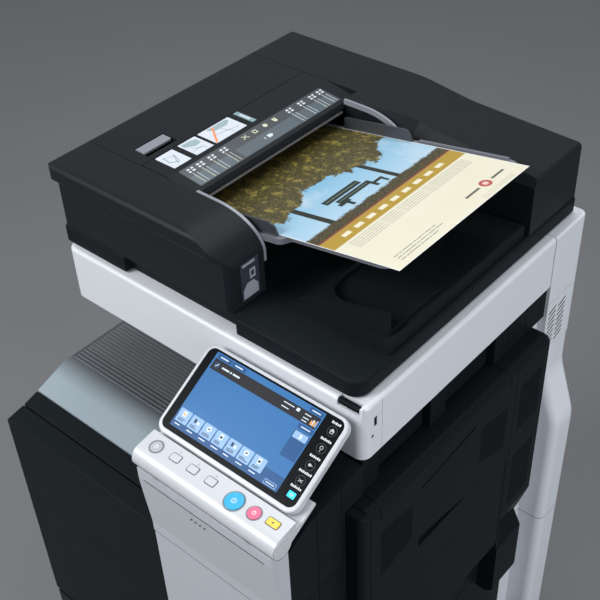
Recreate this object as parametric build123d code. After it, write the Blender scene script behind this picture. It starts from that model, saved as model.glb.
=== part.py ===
from build123d import *
import math
import os

# Floor-standing digital photocopier with a document feeder and a tilting touch panel.
# Units are millimetres. X runs to the machine's right, Y to its back and Z up.
# The origin is on the floor, under the middle of the whole machine.

# ---------------------------------------------------------------- driving dimensions
LEFT = -310.0            # left faces of the feeder, the covers and the front door
RIGHT = 275.0            # right face of the scanner band and of the front column
UNIT_FACE = 303.0        # outer face of the paper path unit on the right side
FLARE = 310.0            # right face of the rear column where it flares out
FRONT = -356.0           # face of the front door and of the drawers
BACK = 355.0             # back face of the rear cover
COLUMN_BACK = 367.0      # back face of the rear column and of the scanner band
BAND_FRONT = -190.0      # front face of the scanner band

BASE_BOTTOM = 72.0       # underside of the base plate
BASE_TOP = 86.0          # top of the base plate
DOOR_BOTTOM = 352.0      # lower edge of the front door
DOOR_TOP = 791.0         # front door's upper front edge
COLUMN_SEAM = 785.0      # seam across the white column
TRAY_Z = 827.0           # surface of the output tray
BAND_BOTTOM = 950.0      # lower edge of the scanner band
GLASS_Z = 1042.0         # top of the scanner
FEEDER_BOTTOM = 1045.0   # underside of the document feeder
PLATE_TOP = 1070.0       # top of the feeder's base plate
FEEDER_TOP = 1183.0      # top of the document feeder

SPLIT_X = 29.0           # line between the black front and the white column
GAP = 1.0                # gap between covers
PIN_R = 4.0              # hinge pins and axles
RUNNING = 0.05           # radial clearance of a shaft in its hole

DRAWERS = {1: (262.0, 346.0), 2: (176.0, 259.0), 3: (90.0, 173.0)}   # lower and upper edges
DRAWER_FRONT = 30.0      # thickness of a drawer's front

CASTER_LEFT, CASTER_RIGHT = -250.0, 212.0
FRONT_CASTER_Y, REAR_CASTER_Y = -280.0, 270.0
WHEEL_R = 29.0
AXLE_Z = 29.5
CASTER_TRAIL = 18.0

FLOOR_Z = 350.0          # middle floor, between the drawers and the inner units
PANEL_LINES = (174.5, 349.0)             # seams round the lower cabinet

DOOR_PIVOT_Y, DOOR_PIVOT_Z = -347.0, 360.0
RIGHT_DOOR_PIVOT_X, RIGHT_DOOR_PIVOT_Z = 290.0, 464.0
BYPASS_PIVOT_X, BYPASS_PIVOT_Z = 298.8, 476.0
BYPASS_END_R = 3.7       # rounded lower edge of the bypass tray, about its pivot
FEEDER_PIVOT_Y, FEEDER_PIVOT_Z = 345.0, 1057.0
COVER_PIVOT_X, COVER_PIVOT_Z = -301.0, 1167.0
TRAY_PIVOT_X, TRAY_PIVOT_Z = -158.0, 1121.0
COVER_PIN_R, TRAY_PIN_R, LATCH_PIN_R = 2.5, 3.0, 1.2
LATCH_PIVOT_X, LATCH_PIVOT_Z = -229.0, 1179.8

PAPER_FRONT, PAPER_BACK = -93.5, 203.5   # edges of the 297 mm wide original
PAPER_LENGTH = 420.0
PAPER_RIGHT = 254.0      # right end of the original
PAPER_RIGHT_Z = 1195.0   # height of that end
PAPER_SLOPE = math.radians(9.6)
PAPER_THICK = 0.8
TRIM_FRONT, TRIM_BACK = -108.0, 218.0    # walls either side of the feed opening
BRIDGE_LEFT, MOUTH_X = -190.0, -81.0     # bridge over the feed opening
ROLLER_X, ROLLER_R = -150.0, 14.0
ROLLER_Z = 1144.5
NOSE_X, NOSE_Z = -40.0, 1135.0           # centre of the curved ends beside the opening
NOSE_A, NOSE_B = 81.0, 48.0              # their half width and height

PANEL_TILT = math.radians(30)            # slope of the touch panel from the horizontal
PIVOT_Y, PIVOT_Z = -349.5, 936.5         # the panel's pivot
BAR_LEFT, BAR_RIGHT = 23.5, 274.0
BAR_NOSE_R = 17.5
BAR_TOP_Y, BAR_TOP_Z = -322.5, 958.2     # upper rear edge of the key bar
PANEL_CORNER = (39.0, -307.6, 966.8)     # lower left corner of the display
KEY_TRAVEL = 0.8

INLET_X, INLET_Z = -240.0, 140.0
TONER_XS = (-235.0, -130.0, -25.0, 80.0)
TONER_Z, TONER_R = 712.0, 33.0


# ---------------------------------------------------------------- helpers
def block(x0, x1, y0, y1, z0, z1):
    """A box between two corners."""
    return Pos((x0 + x1) / 2, (y0 + y1) / 2, (z0 + z1) / 2) * Box(x1 - x0, y1 - y0, z1 - z0)


def outline(points):
    """A closed face through (a, b, corner radius) points."""
    path = FilletPolyline([p[:2] for p in points], radius=[p[2] for p in points], close=True)
    return make_face(path)


def along_x(points, x0, x1):
    """Extrudes a (y, z, radius) outline from x0 to x1."""
    return extrude(Plane.YZ.offset(x0) * outline(points), x1 - x0)


def along_y(points, y0, y1):
    """Extrudes an (x, z, radius) outline from y0 to y1."""
    return extrude(Plane.XZ.offset(-y1) * outline(points), y1 - y0)


def along_z(points, z0, z1):
    """Extrudes an (x, y, radius) outline from z0 to z1."""
    return extrude(Plane.XY.offset(z0) * outline(points), z1 - z0)


def rod_x(x0, x1, y, z, r):
    return Pos((x0 + x1) / 2, y, z) * Rot(0, 90, 0) * Cylinder(r, x1 - x0)


def rod_y(y0, y1, x, z, r):
    return Pos(x, (y0 + y1) / 2, z) * Rot(90, 0, 0) * Cylinder(r, y1 - y0)


def rod_z(z0, z1, x, y, r):
    return Pos(x, y, (z0 + z1) / 2) * Cylinder(r, z1 - z0)


def group(solids):
    """Several separate solids in one node."""
    return Compound(children=[s for item in solids for s in item.solids()])


def louver(corners, pitch=6.6, slot=2.8, depth=3.0):
    """Slots in the right side unit, all inside a (y, z) outline."""
    region = along_x([(y, z, 1.5) for y, z in corners], UNIT_FACE - depth, UNIT_FACE + 1)
    low, high = min(z for y, z in corners), max(z for y, z in corners)
    front, back = min(y for y, z in corners), max(y for y, z in corners)
    count = int((high - low) / pitch)
    bars = Part()
    for i in range(count + 1):
        z = low + i * pitch
        bars += block(UNIT_FACE - 5, UNIT_FACE + 2, front, back, z, z + slot)
    return region & bars


def paper_z(x):
    """Height of the original's underside at x."""
    return PAPER_RIGHT_Z - (PAPER_RIGHT - x) * math.tan(PAPER_SLOPE)


# ---------------------------------------------------------------- base and casters
def caster_fork(x, y, top):
    """Swivel plate, two cheeks and the axle of one caster."""
    axle_y = y + CASTER_TRAIL
    plate = rod_z(64, top, x, y + 6, 26)
    cheek = [(y - 12, 66, 0), (y + 30, 66, 0), (axle_y + 7, 22, 5), (axle_y - 7, 22, 5)]
    cheeks = [along_x(cheek, x + side - 2, x + side + 2) for side in (-16, 16)]
    axle = rod_x(x - 17, x + 17, axle_y, AXLE_Z, PIN_R)
    return plate + cheeks + axle


def caster_wheel(x, y):
    """Wheel with a rounded tyre."""
    wheel = rod_x(x - 12, x + 12, y + CASTER_TRAIL, AXLE_Z, WHEEL_R)
    wheel = fillet(wheel.edges().filter_by(GeomType.CIRCLE), 5)
    return wheel - rod_x(x - 13, x + 13, y + CASTER_TRAIL, AXLE_Z, PIN_R + RUNNING)


def base_plate():
    """Steel floor of the cabinet, with the fixed rear casters and four levelling feet."""
    plate = block(-300, 262, -336, 343, BASE_BOTTOM, BASE_TOP) - block(198.5, 300, 299, 400, 60, 100)
    forks = [caster_fork(x, REAR_CASTER_Y, BASE_BOTTOM + 1) for x in (CASTER_LEFT, CASTER_RIGHT)]
    feet = []
    for x in (-180, 140):
        for y in (-300, 320):
            feet += [rod_z(0, 9, x, y, 18), rod_z(8, BASE_BOTTOM + 1, x, y, 6)]
    return plate + forks + feet


# ---------------------------------------------------------------- frame and inner units
def main_frame():
    """Steel plates that carry everything: front plate, rear plate, middle floor and drawer rails."""
    front = block(-301, 261, -316.5, -315, FLOOR_Z + 2, COLUMN_SEAM - 1)
    front -= [rod_y(-320, -310, x, TONER_Z, TONER_R + 1) for x in TONER_XS]
    rear = block(-301, 198, 300, 301.5, BASE_TOP, 948)
    floor = block(-301, 256.5, -312, 298, FLOOR_Z - 0.5, FLOOR_Z + 1.5)
    rails = []
    for low, high in DRAWERS.values():
        middle = (low + high) / 2
        for x0, x1 in ((-301.5, -297), (257, 261.5)):
            rails.append(block(x0, x1, -300, 244, middle - 6, middle + 6))
    for x in (-298, 255.8):
        arm = block(x, x + 6, DOOR_PIVOT_Y, -316, DOOR_PIVOT_Z - 6, DOOR_PIVOT_Z + 6)
        front += arm + rod_x(x, x + 6, DOOR_PIVOT_Y, DOOR_PIVOT_Z, 6)
    return group([front, rear, floor] + rails)


def toner_bottles():
    """Four toner bottles side by side, each with a grip on its front end."""
    bottles = []
    for x in TONER_XS:
        bottle = rod_y(-313, 40, x, TONER_Z, TONER_R)
        bottle = fillet(bottle.edges().filter_by(GeomType.CIRCLE), 4)
        grip = block(x - 22, x + 22, -320, -310, TONER_Z - 5, TONER_Z + 5)
        bottles.append(bottle + grip)
    return group(bottles)


def drum_units():
    """Four imaging units: a drum beside its developer box."""
    units = []
    for x in TONER_XS:
        case = along_y(
            [(x - 42, 600, 4), (x + 20, 600, 4), (x + 20, 655, 10), (x - 42, 668, 10)], -300, 20
        )
        drum = rod_y(-300, 20, x + 20, 607, 15)
        units.append(case + drum)
    return group(units)


def transfer_belt():
    """Endless belt on two rollers under the drums."""
    left, right, z, r = -275.0, 118.0, 565.0, 20.0
    loop = [
        (left - r, z - r, r - 0.5), (right + r, z - r, r - 0.5), (right + r, z + r, r - 0.5),
        (left - r, z + r, r - 0.5),
    ]
    inner = [(left - r + 2, z - r + 2, r - 3), (right + r - 2, z - r + 2, r - 3)]
    inner += [(right + r - 2, z + r - 2, r - 3), (left - r + 2, z + r - 2, r - 3)]
    belt = along_y(loop, -290, 0) - along_y(inner, -291, 1)
    rollers = [rod_y(-296, 6, x, z, r - 3) for x in (left, right)]
    return group([belt] + rollers)


def laser_unit():
    """Optics box with four exit windows."""
    top = 500.0
    case = block(-285, 140, -290, 60, top - 60, top)
    case = fillet(case.edges().filter_by(Axis.Z), 8)
    return case - [block(x - 4, x + 4, -260, 30, top - 3, top + 1) for x in TONER_XS]


def fuser_unit():
    """Fixing unit: a case with a heated roller and a pressure roller."""
    case = block(165, 250, -290, 60, 680, 775) - block(178, 237, -282, 52, 670, 760)
    rollers = [rod_y(-280, 50, 208, z, 17) for z in (700, 735.5)]
    return group([case] + rollers)


def power_supply():
    """Power supply box behind the rear frame plate."""
    case = block(-290, -120, 303, 338, 200, 420)
    return case - [block(-280, -130, 336, 340, z, z + 4) for z in range(220, 400, 12)]


def power_inlet():
    """Appliance inlet with three pins."""
    body = block(INLET_X - 15.5, INLET_X + 15.5, 330, BACK + 1.5, INLET_Z - 12.5, INLET_Z + 12.5)
    socket = block(INLET_X - 12, INLET_X + 12, 338, BACK + 3, INLET_Z - 8.5, INLET_Z + 8.5)
    pins = [
        block(INLET_X + dx - 1, INLET_X + dx + 1, 337, 352, INLET_Z + dz - 2, INLET_Z + dz + 2)
        for dx, dz in ((-7, -1), (0, 3), (7, -1))
    ]
    return body - socket + pins


# ---------------------------------------------------------------- outer covers
def left_cover():
    """Left wall; it rises behind the output tray up to the scanner."""
    side = [
        (-319, BASE_TOP, 0), (346, BASE_TOP, 0), (346, BAND_BOTTOM - GAP, 0),
        (151, BAND_BOTTOM - GAP, 0),
    ]
    side += [(151, TRAY_Z - 15, 0), (-232, TRAY_Z - 15, 50), (-291, 784.5, 0), (-319, 783.5, 0)]
    wall = along_x(side, LEFT, LEFT + 8)
    lines = [block(LEFT - 1, LEFT + 1, -330, 350, z, z + 2) for z in PANEL_LINES]
    return wall - lines - block(LEFT - 1, LEFT + 5, -60, 60, 560, 600)


def rear_cover():
    """Rear wall with ventilation slots and a window for the power inlet."""
    wall = block(LEFT + 1, 199, 347, BACK, BASE_TOP, BAND_BOTTOM - GAP)
    vents = [
        block(x, x + 70, BACK - 3, BACK + 1, z, z + 4)
        for x in (-250, -160, 60) for z in range(620, 740, 10)
    ]
    lines = [block(LEFT, 200, BACK - 1.2, BACK + 1, z, z + 2) for z in (*PANEL_LINES, 800)]
    window = block(INLET_X - 16, INLET_X + 16, 340, 360, INLET_Z - 13, INLET_Z + 13)
    return wall - vents - lines - window


def rear_column():
    """Light column at the rear right corner, in stacked panels; it flares out below the band."""
    face = RIGHT + 1
    lower = [
        (200, BASE_BOTTOM + 4, 0), (FLARE, BASE_BOTTOM + 4, 0), (FLARE, 640, 90), (face, 742, 90),
        (face, 807, 0), (200, 807, 0),
    ]
    flare = along_y(lower, 300, COLUMN_BACK)
    flare = fillet(flare.edges().filter_by(Axis.Z).sort_by(Axis.X)[-4:], 16)
    inner = [
        (246, BASE_TOP + 1, 0), (299.8, BASE_TOP + 1, 0), (299.8, 741, 0), (274.5, 741, 0),
        (274.5, 884, 0), (246, 884, 0),
    ]
    inner = along_x(inner, 257.5, 262)
    corner = [(200, 275, 0), (face, 275, 0), (face, COLUMN_BACK, 12), (200, COLUMN_BACK, 0)]
    vent = along_z(corner, 808, 911)
    rows = [
        along_x(
            [(y, z, 0), (y + 22, z + 7, 0), (y + 22, z + 11.5, 0), (y, z + 4.5, 0)], face - 6, face + 1
        )
        for y in (282, 311) for z in range(816, 888, 10)
    ]
    top = along_z(corner, 912, GLASS_Z)
    top = fillet(top.faces().sort_by(Axis.Z)[-1].edges().sort_by(Axis.X)[-1:], 4)
    shoulder = block(200, face, 275, 299.8, 742, 807)
    return group([flare, inner, vent - rows, top, shoulder])


def right_cover():
    """Lower right wall, beside the drawers, with a grip and panel lines."""
    wall = block(262, 270, -319, 245, BASE_TOP, 440)
    grip = block(266, 271, -60, 60, 200, 235)
    return wall - grip - [block(269, 271, -330, 250, z, z + 2) for z in PANEL_LINES]


def right_walls():
    """Black walls of the right side, and the front edge block of the paper path unit."""
    front = block(
        267, RIGHT - 0.5, -319, -229, 452, COLUMN_SEAM
    ) - block(RIGHT - 2, RIGHT, -286, -285, 450, 790)
    middle = block(252, 259, -228, 245, 452, 888)
    recessed = block(252, 258, -188, 274, 888, BAND_BOTTOM - GAP)
    spans = ((-188, -154), (-35, 3), (129, 166.5), (167.5, 216.5), (217.5, 274))
    proud = [block(258, 271, y0, y1, 888.5, BAND_BOTTOM - GAP) for y0, y1 in spans]
    edge = along_z(
        [(259, -228, 0), (UNIT_FACE, -228, 11), (UNIT_FACE, -212, 0), (259, -212, 0)], 452, 886
    )
    edge = fillet(edge.faces().sort_by(Axis.Z)[-1].edges().sort_by(Axis.X)[-2:], 4)
    return group([front, middle, recessed + proud, edge])


def rear_unit():
    """Rear end of the paper path unit with two louvers, and the block below it."""
    profile = [
        (260.5, 452, 0), (284, 470, 8), (UNIT_FACE, 536, 20), (UNIT_FACE, 886, 13), (260.5, 886, 0),
    ]
    upper = along_y(profile, 153, 243)
    upper -= louver([(166, 738), (227, 738), (227, 834), (166, 834)])
    upper -= louver([(166, 560), (227, 560), (227, 680), (166, 680)])
    lower_profile = [
        (270.5, 320, 0), (290, 320, 4), (UNIT_FACE, 332, 8), (UNIT_FACE, 448, 8), (276, 500, 6),
        (270.5, 500, 0),
    ]
    lower = along_y(lower_profile, 153, 229)
    return group([upper, lower - upper])


def exit_tower():
    """Flat panels beside the output tray, with the exit slot between them, and the wall behind the tray."""
    left, right, front, back, low, top = 165.0, 251.5, -188.0, 273.0, 829.0, BAND_BOTTOM - GAP
    slot_front, slot_back, slot_low, slot_top = -100.0, 148.0, 852.0, 872.0
    thick = 3.0
    inner = left + thick
    walls = [
        block(left, inner, front, back, low, slot_low),
        block(left, inner, front, back, slot_top, top - thick),
        block(left, inner, front, slot_front, slot_low, slot_top),
        block(left, inner, slot_back, back, slot_low, slot_top),
        block(right - thick, right, front, back, low, top - thick),
        block(inner, right - thick, front, front + thick, low, top - thick),
        block(inner, right - thick, back - thick, back, low, top - thick),
        block(left, right, front, back, top - thick, top),
    ]
    behind_tray = block(-301, left - 1, 151.5, 155, TRAY_Z + 2, top)
    return group(walls + [behind_tray])


def output_tray():
    """Top cover that catches the copies: ribbed at the back, curving down to the front."""
    top = [
        (150.5, TRAY_Z, 0), (-232, TRAY_Z, 75), (-291, 806, 0), (-291, 789, 0), (-232, TRAY_Z - 14, 50),
        (150.5, TRAY_Z - 14, 0),
    ]
    front = along_x(top, LEFT, SPLIT_X - 0.5)
    rear_top = [(150.5, TRAY_Z, 0), (-187, TRAY_Z, 0), (-187, TRAY_Z - 14, 0), (150.5, TRAY_Z - 14, 0)]
    rear = along_x(rear_top, SPLIT_X - 0.5, 164.5)
    ribs = [
        block(LEFT + 6, SPLIT_X - 6, y, y + 2.2, TRAY_Z - 1, TRAY_Z + 1.2)
        for y in range(-216, -188, 7)
    ]
    ribs += [block(LEFT + 6, 158, y, y + 2.2, TRAY_Z - 1, TRAY_Z + 1.2) for y in range(-188, 140, 7)]
    return front + rear + ribs


def front_strip():
    """Black strip between the output tray and the front door."""
    profile = [(-292, 805.5, 2), (-292, 786, 0), (-320.5, 785, 0), (-320.5, 797.5, 2)]
    return along_x(profile, LEFT, SPLIT_X - 0.5)


# ---------------------------------------------------------------- front column and panel support
def column_upper():
    """White head of the front column; it leans out to cradle the key bar."""
    face = [
        (-341, COLUMN_SEAM + 1.5, 0), (FRONT - 1, COLUMN_SEAM + 1.5, 0), (FRONT - 1, 806, 60),
        (-366.5, 908, 20),
    ]
    face += [(-366.5, 925, 0), (-341, 925, 0)]
    body = along_x(face, SPLIT_X, RIGHT)
    corner = [(SPLIT_X, -341, 0), (RIGHT, -341, 0), (RIGHT, -367, 11), (SPLIT_X, -367, 3)]
    body &= along_z(corner, COLUMN_SEAM, 930)
    body -= rod_x(0, 300, PIVOT_Y, PIVOT_Z, BAR_NOSE_R + 1)
    body -= block(SPLIT_X + 12, RIGHT - 18, -370, -364.5, 906, 908.5)
    body -= [rod_y(-370, -360, x, 893, 1.1) for x in (128, 136, 144, 152)]
    for x in (65, 230):
        lug = along_x(
            [(-357, 905, 0), (-342, 905, 0), (-342, PIVOT_Z, 0), (-357, PIVOT_Z, 0)], x - 4, x + 4
        )
        body += lug + rod_x(x - 4, x + 4, PIVOT_Y, PIVOT_Z, 10)
    return body - rod_x(30, 262, PIVOT_Y, PIVOT_Z, PIN_R)


def front_top_covers():
    """Black housing under the touch panel, and the strip in front of the output tray."""
    side = [
        (-340.5, COLUMN_SEAM + 1.5, 0), (-340.5, 915, 0), (-322, 924, 6), (-302, 934, 10),
        (-191, 949, 4),
    ]
    side += [(-191, COLUMN_SEAM + 1.5, 0)]
    body = along_x(side, SPLIT_X, RIGHT - 0.5)
    lines = [block(RIGHT - 1.5, RIGHT, y, y + 1, 780, 950) for y in (-286, -236)]
    body -= block(SPLIT_X + 4, RIGHT - 5, -336, -196, 780, 905)
    return group([body - block(251, 300, -229.5, -180, 780, 889.5) - lines, front_strip()])


# ---------------------------------------------------------------- scanner
def scanner_housing():
    """Silver-white scanner band with the windows in its top."""
    plan = [
        (-298, BAND_FRONT, 18), (RIGHT, BAND_FRONT, 15), (RIGHT, COLUMN_BACK, 4),
        (-298, COLUMN_BACK, 12),
    ]
    body = along_z(plan, BAND_BOTTOM, GLASS_Z)
    body = fillet(body.faces().sort_by(Axis.Z)[-1].edges(), 6)
    body -= block(199, 300, 274, 400, 940, 1050)
    cavity = [
        (-294, BAND_FRONT + 4, 14), (271, BAND_FRONT + 4, 11), (271, 269, 0), (195, 269, 0),
        (195, 363, 0), (-294, 363, 8),
    ]
    body -= along_z(cavity, BAND_BOTTOM - 1, GLASS_Z - 4)
    body -= [
        block(-205, 227, -22, 278, 1039.2, 1050) - block(199, 300, 269, 400, 1030, 1050),
        block(-201, 223, -18, 266, 1030, 1050),
    ]
    body -= [block(-262, -240, -22, 278, 1039.2, 1050), block(-259, -243, -18, 274, 1030, 1050)]
    body -= block(RIGHT - 1, RIGHT + 1, -152.5, -151.5, 940, 1050)
    body -= block(RIGHT - 2.5, RIGHT + 1, -169, -163, 1001, 1017)
    body -= rod_x(RIGHT - 2.5, RIGHT + 1, -172, 986, 2.6)
    body += block(228, 270, BAND_FRONT + 2, -176, 1024, 1041)
    return body - block(231.5, 266.5, -195, -178.5, 1030, 1050)


def platen_glass():
    """Document glass and the narrow glass that the feeder scans through."""
    return group(
        [
            block(-204.7, 226.7, -21.7, 268.5, 1039.2, 1041.8),
            block(-261.7, -240.3, -21.7, 277.7, 1039.2, 1041.8),
        ]
    )


def scan_carriage():
    """Carriage with the lamp and the mirror slot; it runs on two rods."""
    body = block(-285, -221, -75, 240, 988, 1012) + block(-268, -252, -30, 236, 1010, 1026)
    body -= [rod_x(-300, -200, y, 998, 5 + RUNNING) for y in (-60, 215)]
    return body - block(-247, -240, -60, 230, 1008, 1020)


def steel_shafts():
    """Scanner rods, panel pivot and the pins of the feeder and the doors, with their brackets."""
    rods = [rod_x(-293.8, 270.8, y, 998, 5) for y in (-60, 215)]
    pivot = rod_x(31, 261, PIVOT_Y, PIVOT_Z, PIN_R)
    hinges = []
    for x in (-160, 120):
        bracket = block(x - 6, x + 6, 337, 353, GLASS_Z, FEEDER_PIVOT_Z)
        bracket += rod_x(x - 6, x + 6, FEEDER_PIVOT_Y, FEEDER_PIVOT_Z, 8)
        hinges.append(bracket + rod_x(x - 26, x + 26, FEEDER_PIVOT_Y, FEEDER_PIVOT_Z, PIN_R))
    door_pins = [
        rod_x(x0, x1, DOOR_PIVOT_Y, DOOR_PIVOT_Z, PIN_R)
        for x0, x1 in ((-306, -298), (261.8, 270))
    ]
    side_pins = [
        rod_y(y0, y1, RIGHT_DOOR_PIVOT_X, RIGHT_DOOR_PIVOT_Z, PIN_R)
        for y0, y1 in ((-212, -202), (143, 153))
    ]
    return group(rods + [pivot] + hinges + door_pins + side_pins)


def stylus():
    """Pen for the touch panel, with a ribbed grip."""
    pen = rod_x(232, 266, -184, 1035.5, 4.6)
    return pen + [rod_x(236 + i * 3, 237.4 + i * 3, -184, 1035.5, 4.95) for i in range(8)]


# ---------------------------------------------------------------- document feeder
def adf_base():
    """Base plate of the feeder, with the raised exit tray and its scooped corner."""
    plan = [
        (LEFT, 353, 6), (LEFT, -181, 12), (-171, -181, 2), (-171, -168, 2), (45, -168, 2), (50, -181, 3),
    ]
    plan += [(260, -181, 22), (260, 353, 6)]
    plate = along_z(plan, FEEDER_BOTTOM, PLATE_TOP)
    top_edges = plate.faces().sort_by(Axis.Z)[-1].edges().filter_by(lambda e: e.center().Y < -150)
    plate = fillet(top_edges, 4)
    terrace = along_y([(46, 1066, 0), (253, 1066, 0), (253, 1091, 3), (46, 1071, 0)], -113, 212)
    terrace = fillet(terrace.edges().filter_by(Axis.Z).sort_by(Axis.Y)[:1], 2)
    scoop = along_y(
        [(90, 1068, 0), (243, 1068, 0), (243, 1124, 0), (118, 1092, 4), (90, 1076, 0)], -101, 160
    )
    pocket_plan = [(118, -94, 60), (243, -94, 4), (300, 20, 0), (300, 260, 0), (118, 260, 20)]
    pocket = along_z(pocket_plan, 1060, 1200) & along_y(
        [(60, 1079, 0), (300, 1098, 0), (300, 1200, 0), (60, 1200, 0)], -200, 300
    )
    fall = along_x(
        [(-92, 1126, 0), (30, 1088, 0), (200, 1080, 0), (200, 1160, 0), (-92, 1160, 0)], 60, 300
    )
    body = plate + terrace + (scoop - pocket - fall)
    body -= block(-204, 227, -22, 275, 1040, FEEDER_BOTTOM + 3.5)
    body -= along_x([(343, 1040, 0), (360, 1040, 0), (360, 1056, 0)], LEFT - 1, 262)
    for x in (-160, 120):
        body -= block(x - 7, x + 7, 330, 360, 1040, 1080)
        body -= rod_x(x - 27, x + 27, FEEDER_PIVOT_Y, FEEDER_PIVOT_Z, PIN_R + RUNNING)
    return body


def platen_pad():
    """White pad that presses an original onto the glass."""
    pad = block(-203, 226, -21, 267, GLASS_Z + 0.4, FEEDER_BOTTOM + 3.2)
    return fillet(pad.edges().filter_by(Axis.Z), 3)


def rectangle(x0, x1, z0, z1):
    """A flat rectangle between two corners."""
    return Pos((x0 + x1) / 2, (z0 + z1) / 2) * Rectangle(x1 - x0, z1 - z0)


def nose_face():
    """Side view of the curved end beside the feed opening, down to the base plate."""
    bottom, top, left = PLATE_TOP + GAP, NOSE_Z + NOSE_B, LEFT + 11
    face = Pos(NOSE_X, NOSE_Z) * Ellipse(NOSE_A, NOSE_B)
    face += rectangle(left, NOSE_X, bottom, top)
    face += rectangle(NOSE_X, NOSE_X + NOSE_A, bottom, NOSE_Z)
    return face & rectangle(-400, 400, bottom, top)


def adf_front_block():
    """Rounded front end of the feeder, with a lip over its front face."""
    side = extrude(Plane.XZ.offset(109) * nose_face(), 90)
    side += along_y(
        [(LEFT, 1158, 4), (LEFT + 20, 1152, 0), (LEFT + 20, FEEDER_TOP, 0), (LEFT, FEEDER_TOP, 9)],
        -199, -109
    )
    lip = [
        (-109, PLATE_TOP + 1, 0), (-179, PLATE_TOP + 1, 0), (-179, 1150, 4), (-189, 1158, 6),
        (-189, FEEDER_TOP, 12), (-109, FEEDER_TOP, 0),
    ]
    plan = [(LEFT, -109, 0), (LEFT, -189, 14), (41, -189, 30), (41, -109, 0)]
    body = side & along_x(lip, -320, 60) & along_z(plan, 1060, 1200)
    body -= block(LEFT + 16, 30, -172, -123, 1060, 1125)
    body += rod_y(-112, -100, COVER_PIVOT_X, COVER_PIVOT_Z, COVER_PIN_R)
    return body - rod_y(-118, -100, TRAY_PIVOT_X, TRAY_PIVOT_Z, TRAY_PIN_R + RUNNING)


def trim(y0, y1):
    """Silver strip that follows a curved end and turns down its face."""
    proud, inside = 0.5, 7.5
    ring = Ellipse(NOSE_A + proud, NOSE_B + proud) - Ellipse(NOSE_A - inside, NOSE_B - inside)
    face = Pos(NOSE_X, NOSE_Z) * ring & rectangle(NOSE_X, NOSE_X + 200, NOSE_Z, NOSE_Z + 200)
    face += rectangle(NOSE_X - 40.5, NOSE_X + 0.5, FEEDER_TOP - inside, FEEDER_TOP + proud)
    face += rectangle(NOSE_X + NOSE_A - inside, NOSE_X + NOSE_A + proud, NOSE_Z - 14.5, NOSE_Z + 0.5)
    return extrude(Plane.XZ.offset(-y1) * face, y1 - y0)


def feed_trims():
    """The two silver trims of the feed opening."""
    return group([trim(-108.5, -104), trim(214, 218)])


def adf_rear_block():
    """Rear part of the feeder; its top falls gently to the right and slopes to the opening."""
    top = [
        (LEFT, 1158, 4), (LEFT, FEEDER_TOP, 9), (-25, FEEDER_TOP, 260), (66, 1170, 260), (258, 1163, 8),
        (258, PLATE_TOP + 1, 0),
    ]
    top += [(LEFT + 10, PLATE_TOP + 1, 0), (LEFT + 10, 1150, 0)]
    body = along_y(top, 218.5, 353)
    body = fillet(body.edges().filter_by(Axis.Z).sort_by(Axis.Y)[-2:], 5)
    body -= block(-320, MOUTH_X + 0.5, 210, 247.5, 1060, 1200)
    start = Plane.YZ.offset(-60) * outline([(217, 1182.9, 0), (219, 1190, 0), (217, 1190, 0)])
    middle = Plane.YZ.offset(41) * outline([(217, 1144, 0), (262, 1190, 0), (217, 1190, 0)])
    end = Plane.YZ.offset(262) * outline([(217, 1150, 0), (250, 1190, 0), (217, 1190, 0)])
    body = body - loft([start, middle]) - loft([middle, end])
    body -= block(LEFT + 16, 252, 262, 347, 1060, 1140)
    body += rod_y(238, 250, COVER_PIVOT_X, COVER_PIVOT_Z, COVER_PIN_R)
    return body - rod_y(240, 256, TRAY_PIVOT_X, TRAY_PIVOT_Z, TRAY_PIN_R + RUNNING)


def adf_core():
    """Inner body of the feeder with the bridge over the feed opening."""
    side = [
        (LEFT + 11, PLATE_TOP + 1, 0), (LEFT + 11, 1153, 5), (BRIDGE_LEFT + 0.5, 1153, 0),
        (BRIDGE_LEFT + 0.5, FEEDER_TOP, 0),
    ]
    side += [
        (-139, FEEDER_TOP, 6), (-84, 1176, 3), (MOUTH_X, 1168, 2), (-88, 1159, 3), (-168, 1148, 4),
        (-172, 1106, 6),
    ]
    side += [(-90, 1104, 6), (-83, PLATE_TOP + 1, 0)]
    body = along_y(side, -107.5, 246.5)
    body -= block(
        LEFT + 16, -180, -100, 240, 1060, 1100
    ) + block(LEFT + 16, -180, -100, 240, 1106, 1148)
    body -= rod_y(-75, 185, ROLLER_X, ROLLER_Z, ROLLER_R + 2)
    return body - rod_y(-95, 205, ROLLER_X, ROLLER_Z, PIN_R + RUNNING)


def feed_cover():
    """Lid over the paper path; it opens to the left and has a recess for its latch."""
    side = [
        (LEFT, 1157, 4), (BRIDGE_LEFT - 0.5, 1157, 0), (BRIDGE_LEFT - 0.5, FEEDER_TOP, 0),
        (LEFT, FEEDER_TOP, 9),
    ]
    body = along_y(side, -108, 246.5)
    body -= block(-232, -201, -86, -27, 1171, 1190)
    body -= rod_y(-88.5, -24.5, LATCH_PIVOT_X, LATCH_PIVOT_Z, LATCH_PIN_R + RUNNING)
    for y0, y1 in ((-109, -99), (237, 247)):
        body -= rod_y(y0, y1, COVER_PIVOT_X, COVER_PIVOT_Z, COVER_PIN_R + RUNNING)
    return body


def feed_latch():
    """Grey latch lever in the lid."""
    profile = [
        (-231.5, 1178, 1), (-213, 1177, 1), (-212, FEEDER_TOP, 2), (-230, FEEDER_TOP, 1),
        (-231.5, 1181, 0.5),
    ]
    return along_y(profile, -84, -29) + rod_y(-88, -25, LATCH_PIVOT_X, LATCH_PIVOT_Z, LATCH_PIN_R)


def feed_roller():
    """Shaft with three rubber tyres that takes in the originals."""
    shaft = rod_y(-94, 204, ROLLER_X, ROLLER_Z, PIN_R) + rod_y(-72, 182, ROLLER_X, ROLLER_Z, 8)
    return shaft + [rod_y(y, y + 34, ROLLER_X, ROLLER_Z, ROLLER_R) for y in (-20, 38, 96)]


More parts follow.
